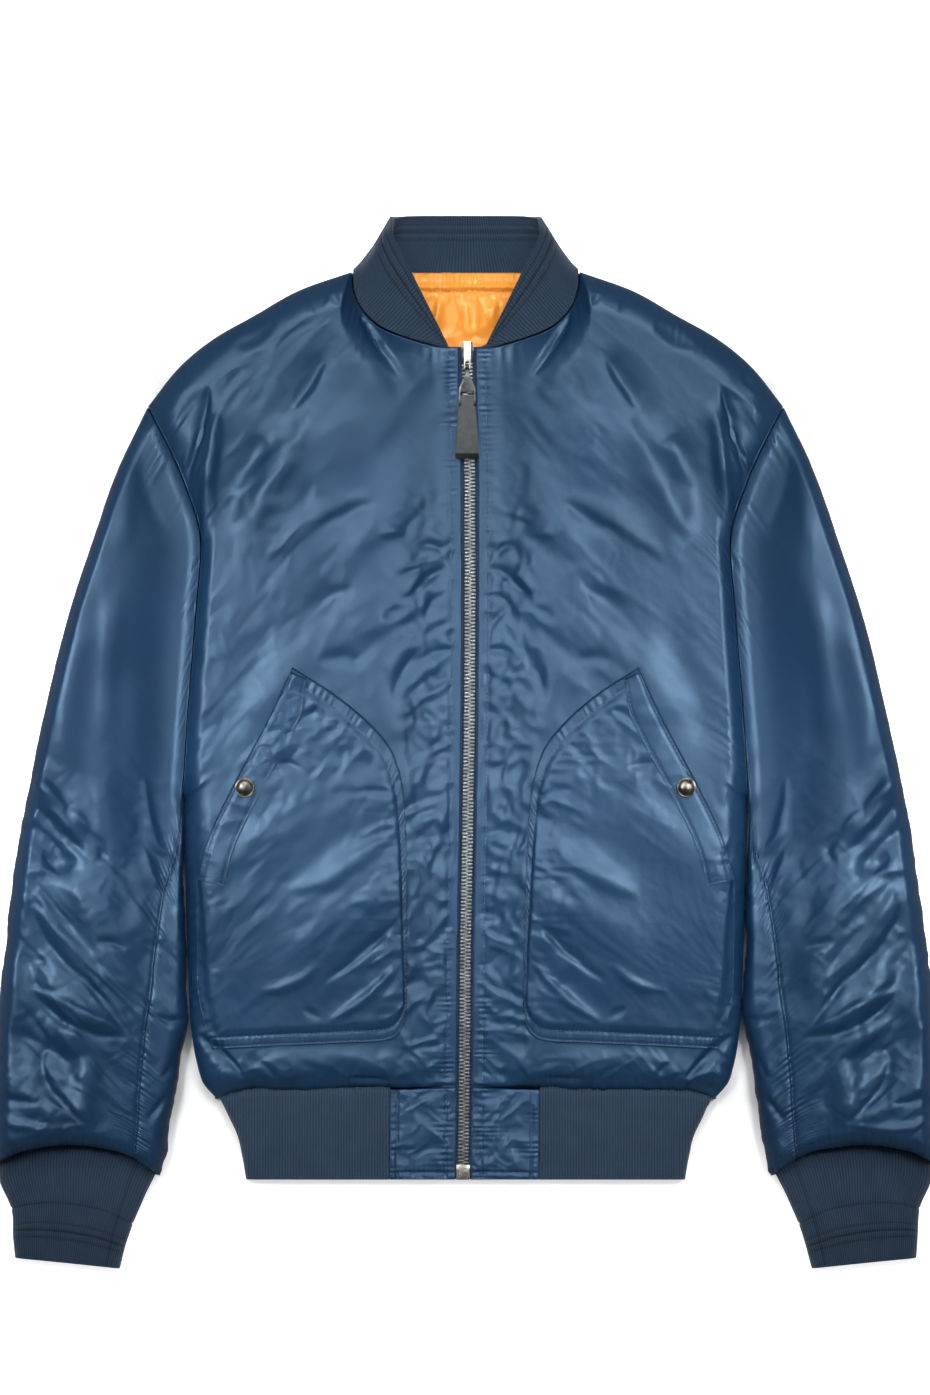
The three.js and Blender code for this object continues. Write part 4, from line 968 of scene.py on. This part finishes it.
def collarAt(u, v):
    # from one end over the face to the fold, round the back of the neck and on to the other end
    half, sign = 2 * np.abs(u - 0.5), np.where(u < 0.5, -1.0, 1.0)
    turn, middle = collarSettings["turn"], sizes["foldZ"]
    onBack = half < turn
    behind = 1 - (1 - np.minimum(half / turn, 1)) ** 1.5
    fold = collarFold(v)
    y = mix(collarSettings["backSeam"], collarCorner[1] + collarSettings["backRise"], v)
    z = middle - middle * quarter((1 - behind) * fold[..., 0], middle)
    back = np.stack([fold[..., 0] * behind, mix(y, fold[..., 1], behind ** 6), z], -1)
    t = 1 - np.clip((half - turn) / (1 - turn), 0, 1) ** 1.5
    fromFold = (1 - t) * mix(collarSeam.span, collarEdge.span, v)
    face = mix(sizes["neckZ"], sizes["collarZ"], smooth(v * 1.4) * smooth(t * 2.5))
    ends = mix(collarSeam(np.ones(1))[0], np.array(collarCorner), v[..., None])
    front = mix(collarSeam(t), collarEdge(t), v[..., None]) + (t ** 3)[..., None] * (fold - ends)
    front = np.concatenate([front, (middle + (face - middle) * quarter(fromFold, middle))[..., None]], -1)
    x, y, z = np.moveaxis(np.where(onBack[..., None], back, front), -1, 0)
    return np.stack([sign * x + np.where(onBack, 0, drift(x, y)), y, z], -1), onBack, t


s = collarSettings
u, v = grid(s["cols"], s["rows"])
base, onBack, t = collarAt(u, v)
# the places of both welts down the collar, on the face and on the back
near, far = (np.where(onBack, b, mix(a, b, t ** 2)) for a, b in ((0.88, 0.77), (0.765, 0.63)))
rise = welt(v, near, s["weltHalf"], s["weltRise"]) + welt(v, far, s["weltHalf"], s["weltRise"])
# painted shade in the knit's hollows beside and between the welts
grooveShade = np.zeros_like(u)
for line, depth in ((near + s["besideWelt"], 0.5), ((near + far) / 2, 0.8), (far - s["besideWelt"], 0.5)):
    rise -= depth * bell(v - line, 0.02)
    grooveShade += depth * bell(v - line, 0.018)
rise *= smooth(np.abs(2 * np.abs(u - 0.5) - s["turn"]) * 12)
relief = np.where(onBack, 0, rise) + 0.3 * noise(u * 40, v * 4, 530)
relief = np.where(base[..., 2] < 1.5, 0, relief)
uv = np.stack([u * 400, v * s["long"]], -1)
piece = clothWall("knitCollar", base, s["thick"], navyKnit, flip=True, step=1, relief=relief, uv=uv,
                  innerRelief=rise + 0.3 * noise(u * 40, v * 4, 531), groundFlat=True, grooveShade=grooveShade)[0]
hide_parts("collar")
print("knit made")

# satin end panels of the hem band
panelSettings = dict(
    cols=66, rows=80, thick=2.2, long=68, stitchIn=5.5, stitchX=7.5, top=0.4, sidePucker=(0.7, 5, 8),
    footPucker=(0.6, 5, 8), zipPucker=(0.6, 4.6, 7), seamDepth=0.7, net=(crinkle, 1.5, 11, 0.8),
    wide=(crumple, 0.6, 22, -0.5))
for sideName, side in sides:
    s = panelSettings
    u, v = grid(s["cols"], s["rows"])
    x = mix(sizes["frontEdge"], sizes["frontEdge"] + endPanel, u)
    y = mix(hemSeam((x - sizes["frontEdge"]) / hemSeam.span)[..., 1] - s["top"], sizes["hemBottom"], v)
    z = mix(zipZ(y), sizes["knitZ"], smooth(u * 4))
    fromSide, fromFoot, fromZipSeam = (1 - u) * endPanel, (1 - v) * s["long"], x - sizes["zipSeam"]
    relief = pucker(y, fromSide, 540 + side, *s["sidePucker"])
    relief += pucker(x, fromFoot, 543 + side, *s["footPucker"])
    byZip = pucker(y, np.abs(fromZipSeam), 545 + side, *s["zipPucker"])
    relief += byZip - s["seamDepth"] * bell(fromZipSeam, 1.3)
    relief += layer(s["net"], x, y, 546 + side) + layer(s["wide"], x, y, 549 + side)
    for away in (fromSide, fromFoot):
        relief -= 0.8 * bell(away - s["stitchIn"], 1.2)
    relief *= smooth(toEdge(u, v, endPanel, s["long"]) / 2)
    piece, outer = clothWall("satinEndPanel_" + sideName, onSide(side, np.stack([x, y, z], -1)), s["thick"],
                             navySatin, flip=side > 0, relief=relief)
    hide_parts("hem_panel_" + sideName)
    frontGrids["end_" + sideName] = outer

# orange lining of the back, seen through the neck; its half width follows the collar, which hides its edge
liningCreases = [
    (-20, 335, -22, 320, -27, 304, 3, 2.2, 0.2), (-8, 337, -11, 322, -9, 306, 6, -1.5, 0),
    (10, 336, 14, 320, 8, 306, 5, 2, 0.2), (24, 334, 20, 322, 22, 312, 4, 1.5, 0),
    (2, 330, 0, 318, 3, 305, 4, 1.4, 0), (-30, 338, -33, 330, -31, 322, 3, 1.3, 0)]
liningSettings = dict(
    cols=110, rows=84, top=353, foot=262, thick=1.0, z=5.0, foldY=342.5, seamY=338.2, stitchY=339.2, rise=1.8,
    pucker=(1.0, 5, 10), net=(crinkle, 1.6, 13, -1.2), wide=(crumple, 0.8, 26, -1.3))
s = liningSettings
u, v = grid(s["cols"], s["rows"])
y = mix(s["top"], s["foot"], v)
x = (2 * u - 1) * np.interp(y, [298, 300, 305, 312, 322], [12.5, 17, 28, 42, 56])
fold = 1.5 * bell(y - s["foldY"], 2.6) - 0.9 * bell(y - s["seamY"], 1.2)
fold += creasesAt(liningCreases, x, y, 5)
fold = s["rise"] * fold + pucker(x, 338 - y, 560, *s["pucker"])
fold += (layer(s["net"], x, y, 561) + layer(s["wide"], x, y, 564)) * smooth((340 - y) / 8)
fold *= smooth(toEdge(u, v, 112, 85) / 2)
base = np.stack([x, y, s["z"] + np.clip(fold, -1.0, 4)], -1)
piece, liningGrid = clothWall("orangeLining", base, s["thick"], orangeSatin, flip=True)
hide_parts("back_lining")
print("lining made")

# pockets: a stitched patch on each front, drawn on the front's own surface
pocketApex = (129.5, 56.5)
pocketOpening = Through([pocketApex, (146.5, 20), (174, -32), (192, -70), (201.5, -104)])
pocketInside = Through([
    pocketApex, (97, 35.5), (69.5, 11.5), (55.5, -8), (47.6, -40), (44.5, -120), (44.2, -195)])
pocketFoot = Through([(44.2, -195), (46.5, -212), (56, -222), (90, -224.8), (140, -227), (190, -229.5)])
pocketOutside = Through([(201.5, -104), (201, -150), (200, -190), (190, -229.5)])
pocketPlan = patch(pocketOpening, pocketFoot, pocketInside, pocketOutside)
pocketSettings = dict(
    cols=118, rows=206, lift=2.3, thick=1.4, filling=1.6, stitchRows=(1.3, 8.2),
    wide=(crumple, 0.9, 26, -0.6, 2.0), net=(crinkle, 1.5, 12, -0.5), innerPucker=(0.7, 8, 20),
    sidePucker=(0.55, 4.2, 4), footPucker=(0.55, 4.4, 4))
weltSettings = dict(cols=100, rows=18, wide=20.5, lift=2.0, net=(crumple, 0.5, 13, 0.2), pucker=(0.4, 5, 6))


def heightOn(sideName, side, points):
    # the front's height under half points: its mean in 2 mm cells, read between their middles
    cell, cols, rows, lowest = 2.0, 130, 330, 280
    x, y, z = np.moveaxis(frontGrids[sideName][0], -1, 0)
    i = np.clip((side * (x - drift(np.abs(x), y)) / cell).astype(int), 0, cols - 1)
    j = np.clip(((y + lowest) / cell).astype(int), 0, rows - 1)
    total, count = np.zeros((rows, cols)), np.zeros((rows, cols))
    np.add.at(total, (j, i), z)
    np.add.at(count, (j, i), 1)
    table = np.where(count > 0, total / np.maximum(count, 1), np.nan)
    for _ in range(4):  # empty cells take the mean of their neighbours
        shifted = np.stack([np.roll(table, step, axis) for step in (1, -1) for axis in (0, 1)])
        known = ~np.isnan(shifted)
        fill = np.where(known, shifted, 0).sum(0) / np.maximum(known.sum(0), 1)
        table = np.where(np.isnan(table) & known.any(0), fill, table)
    table = np.nan_to_num(table, nan=12)
    x, y = points[..., 0] / cell - 0.5, (points[..., 1] + lowest) / cell - 0.5
    i, j = np.clip(np.floor(x).astype(int), 0, cols - 2), np.clip(np.floor(y).astype(int), 0, rows - 2)
    low, high = (mix(table[row, i], table[row, i + 1], x - i) for row in (j, j + 1))
    return mix(low, high, y - j)


def weltPlan(u, v):
    line = lambda k: pocketOpening(mix(0.02, 0.99, np.clip(k, 0, 1)))
    way = line(u + 0.02) - line(u - 0.02)
    way /= np.linalg.norm(way, axis=-1, keepdims=True)
    reach = (weltSettings["wide"] * v * mix(0.65, 1, smooth(u * 6)))[..., None]
    return line(u) + np.stack([way[..., 1], -way[..., 0]], -1) * reach - (0.4, 0)


stitches = []


def stitchLine(gridPoints, u, v, lift=0.1):
    points, normals = sampleGrid(gridPoints, u, v)
    stitches.append(stitchRun(points + normals * lift, normals))


def snapDome(middleX, middleY, foot):
    # a spun dome with a rolled rim: 56 points round each ring, one in the middle of the foot and of the top
    profile = np.array([
        (7.0, 0), (7.3, 0.35), (7.35, 0.8), (7.2, 1.15), (6.9, 1.35), (6.55, 1.3), (6.35, 1.25), (6.1, 1.5),
        (5.4, 2.1), (4.3, 2.65), (2.9, 3.05), (1.4, 3.25)])
    count, k = 56, np.arange(56)
    angle, radius = k * 2 * np.pi / count, profile[:, :1]
    height = foot + np.repeat(profile[:, 1:], count, 1)
    rings = np.stack([middleX + radius * np.cos(angle), middleY + radius * np.sin(angle), height], -1)
    verts = np.concatenate([rings.reshape(-1, 3), [[middleX, middleY, foot], [middleX, middleY, foot + 3.3]]])
    n, after = np.arange(len(profile) - 1)[:, None] * count, (k + 1) % count
    faces = np.stack([n + k, n + after, n + count + after, n + count + k], -1).reshape(-1, 4).tolist()
    last = (len(profile) - 1) * count
    faces += [[last + count, (i + 1) % count, i] for i in range(count)]
    faces += [[last + count + 1, last + i, last + (i + 1) % count] for i in range(count)]
    return verts, faces


for sideName, side in sides:
    s = pocketSettings
    u, v = grid(s["cols"], s["rows"])
    uu = 0.5 * u + 0.5 * crowdedLate(u)
    plan = pocketPlan(uu, v)
    x, y = plan[..., 0], plan[..., 1]
    wide = np.linalg.norm(pocketOutside(v) - pocketInside(v), axis=-1)
    tall = np.linalg.norm(pocketFoot(uu) - pocketOpening(uu), axis=-1)
    inner, outerEdge, foot, mouth = uu * wide, (1 - uu) * wide, (1 - v) * tall, v * tall
    relief = creasesAt(pocketCreases, x + 1.4 * noise(x / 50, y / 50, 600 + side), y, 601 + side)
    byEdge = np.maximum(smooth((75 - inner) / 50), smooth((80 - mouth) / 60) * smooth((110 - inner) / 50))
    relief += layer(s["wide"], x, y, 610 + side) * mix(0.5, 1, byEdge)
    innerPucker = pucker(y, inner - 9, 625 + side, *s["innerPucker"])
    relief += layer(s["net"], x, y, 620 + side) * mix(0.08, 1, byEdge) + innerPucker
    border = np.minimum(np.minimum(inner, foot), outerEdge + 3)
    relief *= smooth((border - 6) / 9)
    relief += s["filling"] * smooth((border - 7) / 8) * smooth((mouth + 4) / 8)
    sidePucker = pucker(v * 250, np.abs(inner - 4.5) - 2, 630 + side, *s["sidePucker"])
    relief += sidePucker + pucker(x, np.abs(foot - 4.5) - 2, 640 + side, *s["footPucker"])
    for away in (inner, foot):
        relief -= 0.5 * bell(away - s["stitchRows"][0], 0.8) + 0.6 * bell(away - s["stitchRows"][1], 0.9)
    base = onSide(side, np.stack([x, y, heightOn(sideName, side, plan) + s["lift"]], -1))
    piece, outer = clothWall("satinPocket_" + sideName, base, s["thick"], navySatin, flip=side > 0,
                             relief=relief)
    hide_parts("pocket_" + sideName)
    n = np.linspace(0, 1, 300)
    for away in s["stitchRows"]:
        down = mix(away / 180, 1 - away / 280, n)
        stitchLine(outer, np.interp(away / wide[:, 0].mean() + 0 * n, uu[0], u[0]), down)
        across = np.interp(mix(away / 150, 0.99, n), uu[0], u[0])
        stitchLine(outer, across, 1 - away / np.interp(n, uu[0], tall[0]))

    s = weltSettings
    u, v = grid(s["cols"], s["rows"])
    plan = weltPlan(u, v)
    z = heightOn(sideName, side, plan) + pocketSettings["lift"] + s["lift"]
    relief = layer(s["net"], plan[..., 0], plan[..., 1], 650 + side) - 0.45 * bell(v - 0.16, 0.05)
    relief += pucker(u * 180, np.abs(v - 0.1) * 20, 660 + side, *s["pucker"]) + 0.5 * (4 * v * (1 - v)) ** 0.5
    relief -= 0.5 * bell(v - 0.9, 0.05)
    base = onSide(side, np.concatenate([plan, z[..., None]], -1))
    piece, outer = clothWall("satinWelt_" + sideName, base, pocketSettings["thick"], navySatin,
                             flip=side > 0, relief=relief)
    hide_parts("pocket_welt_" + sideName)
    for share in (0.1, 0.9):
        stitchLine(outer, np.linspace(0.01, 0.99, 200), np.full(200, share))
    stitchLine(outer, np.full(40, 0.975), np.linspace(0.1, 0.9, 40))

    snapAt = (165.2, -33.5)
    foot = heightOn(sideName, side, np.array([snapAt]))[0] + 2 * pocketSettings["lift"] + 1.2
    verts, faces = snapDome(side * snapAt[0], snapAt[1], foot)
    piece = finishMesh("snapDome_" + sideName, verts, faces, snapMetal)
    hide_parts("snap_" + sideName)
print("pockets made")

# stitches along the zip, the end panels, and the lining's fold
for sideName, side in sides:
    outer, plan = frontGrids[sideName]
    rows = np.arange(4, len(outer) - 4)
    column = np.array([np.interp(sizes["zipSeam"], plan[r, :, 0], np.arange(plan.shape[1])) for r in rows])
    stitchLine(outer, column / (outer.shape[1] - 1), rows / (len(outer) - 1))
    s, end = panelSettings, frontGrids["end_" + sideName]
    for x in (s["stitchX"] / endPanel, 1 - s["stitchIn"] / endPanel):
        stitchLine(end, np.full(120, x), np.linspace(0.03, 0.97, 120))
    stitchLine(end, np.linspace(0.15, 0.9, 120), np.full(120, 1 - s["stitchIn"] / s["long"]))
joined = joinRuns("seamStitches", stitches, threadNavy)
s = liningSettings
stitchShare = (s["top"] - s["stitchY"]) / (s["top"] - s["foot"])
points, normals = sampleGrid(liningGrid, np.linspace(0.06, 0.94, 200), np.full(200, stitchShare))
joinRuns("liningStitches", [stitchRun(points + normals * 0.1, normals)], threadOrange)
print("stitches made:", len(joined.data.polygons))

# zip: tapes, teeth, slider, pull and box
zipSettings = dict(
    head=291, foot=-316.4, pitch=2.7, toothLong=1.35, tapeHalf=14.5, tapeThick=0.9, tapeTop=297, tapeDrop=3.9,
    cordHalf=3.9, cordDrop=1.6,
    # root and head of a tooth: off the middle, drop, half width, share of the length, half height, shrink
    toothParts=[(2.3, 0.9, 1.85, 1, 1.4, 0.75), (0.1, 1.5, 1.0, 0.9, 1.25, 0.6)])
for sideName, side in sides:
    s = zipSettings
    u, v = grid(10, 300)
    y = mix(s["tapeTop"], sizes["hemBottom"] + 1.5, v)
    x = side * mix(0.3, s["tapeHalf"], u) + zipX(y)
    base = np.stack([x, y, zipZ(y) - s["tapeDrop"]], -1)
    piece = clothWall("zipTape_" + sideName, base, s["tapeThick"], zipTape, flip=side > 0,
                      relief=0.15 * noise(x, y / 3, 700 + side))[0]
    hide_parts("zip_tape_" + sideName)


def boxes(centres, halfSizes, shrink):
    # a block for each centre, its top narrower than its foot, as cast teeth are
    corners = np.array([(x, y, z) for z in (-1, 1) for x, y in ((-1, -1), (1, -1), (1, 1), (-1, 1))], float)
    corners[4:, :2] *= shrink
    verts = (centres[:, None] + corners[None] * halfSizes).reshape(-1, 3)
    one = np.array([(3, 2, 1, 0), (4, 5, 6, 7), (0, 1, 5, 4), (1, 2, 6, 5), (2, 3, 7, 6), (3, 0, 4, 7)])
    return verts, (one[None] + np.arange(len(centres))[:, None, None] * 8).reshape(-1, 4).tolist()


runs = []
s = zipSettings
for side in (-1, 1):
    # the two rows stand half a pitch apart; each tooth is a root on its tape and a head over the middle
    y = np.arange(s["foot"], s["head"] - 6, s["pitch"]) + (s["pitch"] / 2 if side > 0 else 0)
    for off, drop, wide, long, high, shrink in s["toothParts"]:
        centre = np.stack([side * off + zipX(y), y, zipZ(y) - drop], -1)
        runs.append(boxes(centre, np.array([wide, s["toothLong"] / 2 * long, high]), shrink))
teeth = joinRuns("zipTeeth", runs, teethMetal)
teeth.data.polygons.foreach_set("use_smooth", np.zeros(len(teeth.data.polygons), dtype=bool))
u, v = grid(6, 200)
y = mix(s["head"], s["foot"], v)
base = np.stack([mix(-s["cordHalf"], s["cordHalf"], u) + zipX(y), y, zipZ(y) - s["cordDrop"]], -1)
piece = clothWall("zipChainCord", base, 1.2, zipTape, flip=True)[0]
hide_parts("zip_chain")
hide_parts("zip_chain")


def roundedCopy(nodeName, pieceName, material, body, bevel):
    # the node's own solid with its doubles merged and its edges rounded
    mesh = bpy.data.objects[nodeName].data.copy()
    piece = bpy.data.objects.new(pieceName, mesh)
    bpy.context.scene.collection.objects.link(piece)
    work = bmesh.new()
    work.from_mesh(mesh)
    bmesh.ops.remove_doubles(work, verts=work.verts, dist=1e-5)
    bmesh.ops.dissolve_limit(work, angle_limit=math.radians(1), verts=work.verts, edges=work.edges)
    work.to_mesh(mesh)
    work.free()
    mesh.materials.clear()
    mesh.materials.append(material)
    rounding = piece.modifiers.new("roundedEdges", "BEVEL")
    rounding.width = bevel * mm
    rounding.segments = 3
    rounding.limit_method = "ANGLE"
    rounding.angle_limit = math.radians(35)
    mesh.polygons.foreach_set("use_smooth", np.ones(len(mesh.polygons), dtype=bool))
    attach(piece, body)
    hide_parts(nodeName)


roundedCopy("zip_slider", "zipSliderCast", sliderMetal, "jacket", 0.35)
roundedCopy("zip_box", "zipBoxCast", brightMetal, "jacket", 0.4)
roundedCopy("pull_tab", "pullTabCast", darkMetal, "pull", 0.3)
roundedCopy("pull_grip", "pullGripLeather", gripLeather, "pull", 0.6)
print("zip made")


# floor, light and camera
stageMesh = bpy.data.meshes.new("paperFloor")
corners = [(3 * x, 3 * y, -0.0004) for x, y in ((-1, -1), (1, -1), (1, 1), (-1, 1))]
stageMesh.from_pydata(corners, [], [(0, 1, 2, 3)])
paper = newMaterial("matteWhitePaper")
place = node(paper, "TexCoord", "Object")
# lit from below outside a block 0.23 x 0.27 m either way, so that the paper is evenly white to its edges
inBlocks = node(paper, "Mapping", "Vector", {"Scale": (1 / 0.23, 1 / 0.27, 0)}, {"Vector": place})
sized = node(paper, "VectorMath", "Vector", {"operation": "ABSOLUTE"}, {0: inBlocks})
ways, _ = node(paper, "SeparateXYZ", "X", links={"Vector": sized})
reach = node(paper, "Math", "Value", {"operation": "MAXIMUM"}, {0: (ways, "X"), 1: (ways, "Y")})
glow = remap(paper, reach, 0.0, 0.8, (1.0, 1.3))
finishMaterial(paper, {"Base Color": colour("#fbfbfb"), "Roughness": 1.0, "Specular IOR Level": 0.0,
                       "Emission Color": (1, 1, 1, 1)}, {"Emission Strength": glow})
stageMesh.materials.append(paper)
floor = bpy.data.objects.new("paperFloor", stageMesh)
bpy.context.scene.collection.objects.link(floor)
floor.visible_glossy = False  # the glowing paper would put a pale haze on the satin's steep sides

lights = [  # name, place, aim, width, height, watts, spread in degrees
    ("keyTop", (0.0, 1.05, 1.75), (0, 0, 0), 1.3, 0.9, 18, 180),
    ("collarSpot", (0.0, 0.9, 1.4), (0, 0.34, 0), 0.25, 0.25, 0.1, 19),
    ("leftGrid", (-0.78, 0.27, 1.7), (-0.25, -0.03, 0), 0.3, 0.5, 0.95, 30),
    ("rightGrid", (0.78, 0.27, 1.7), (0.25, -0.03, 0), 0.3, 0.5, 0.95, 30)]
for name, place, aim, width, height, watts, spread in lights:
    light = bpy.data.lights.new(name, "AREA")
    light.shape = "RECTANGLE"
    light.size, light.size_y = width, height
    light.energy = watts
    light.spread = math.radians(spread)
    lamp = bpy.data.objects.new(name, light)
    bpy.context.scene.collection.objects.link(lamp)
    lamp.location = place
    lamp.rotation_euler = Vector(np.subtract(aim, place)).to_track_quat("-Z", "Y").to_euler()
world = bpy.data.worlds.new("softRoom")
world.use_nodes = True
background = world.node_tree.nodes["Background"]
background.inputs["Color"].default_value = (1, 1, 1, 1)
background.inputs["Strength"].default_value = 0.18
bpy.context.scene.world = world
bpy.context.scene.view_settings.view_transform = "Standard"

# straight down on the jacket: 0.75 mm of it for each pixel of a 930 x 1395 image
cameraData = bpy.data.cameras.new("overhead")
cameraData.sensor_fit = "VERTICAL"
cameraData.sensor_height = 24
height, shown = 8.0, 1.04625
cameraData.lens = 24 * (height - 0.02) / shown
cameraData.clip_end = 30
camera = bpy.data.objects.new("overhead", cameraData)
camera.location = (-0.0004, 0.0339, height)
bpy.context.scene.collection.objects.link(camera)
bpy.context.scene.camera = camera
triangles = sum(len(face.vertices) - 2 for piece in pieces.values() for face in piece.data.polygons)
print("scene set, triangles of the cloth and metal:", triangles)
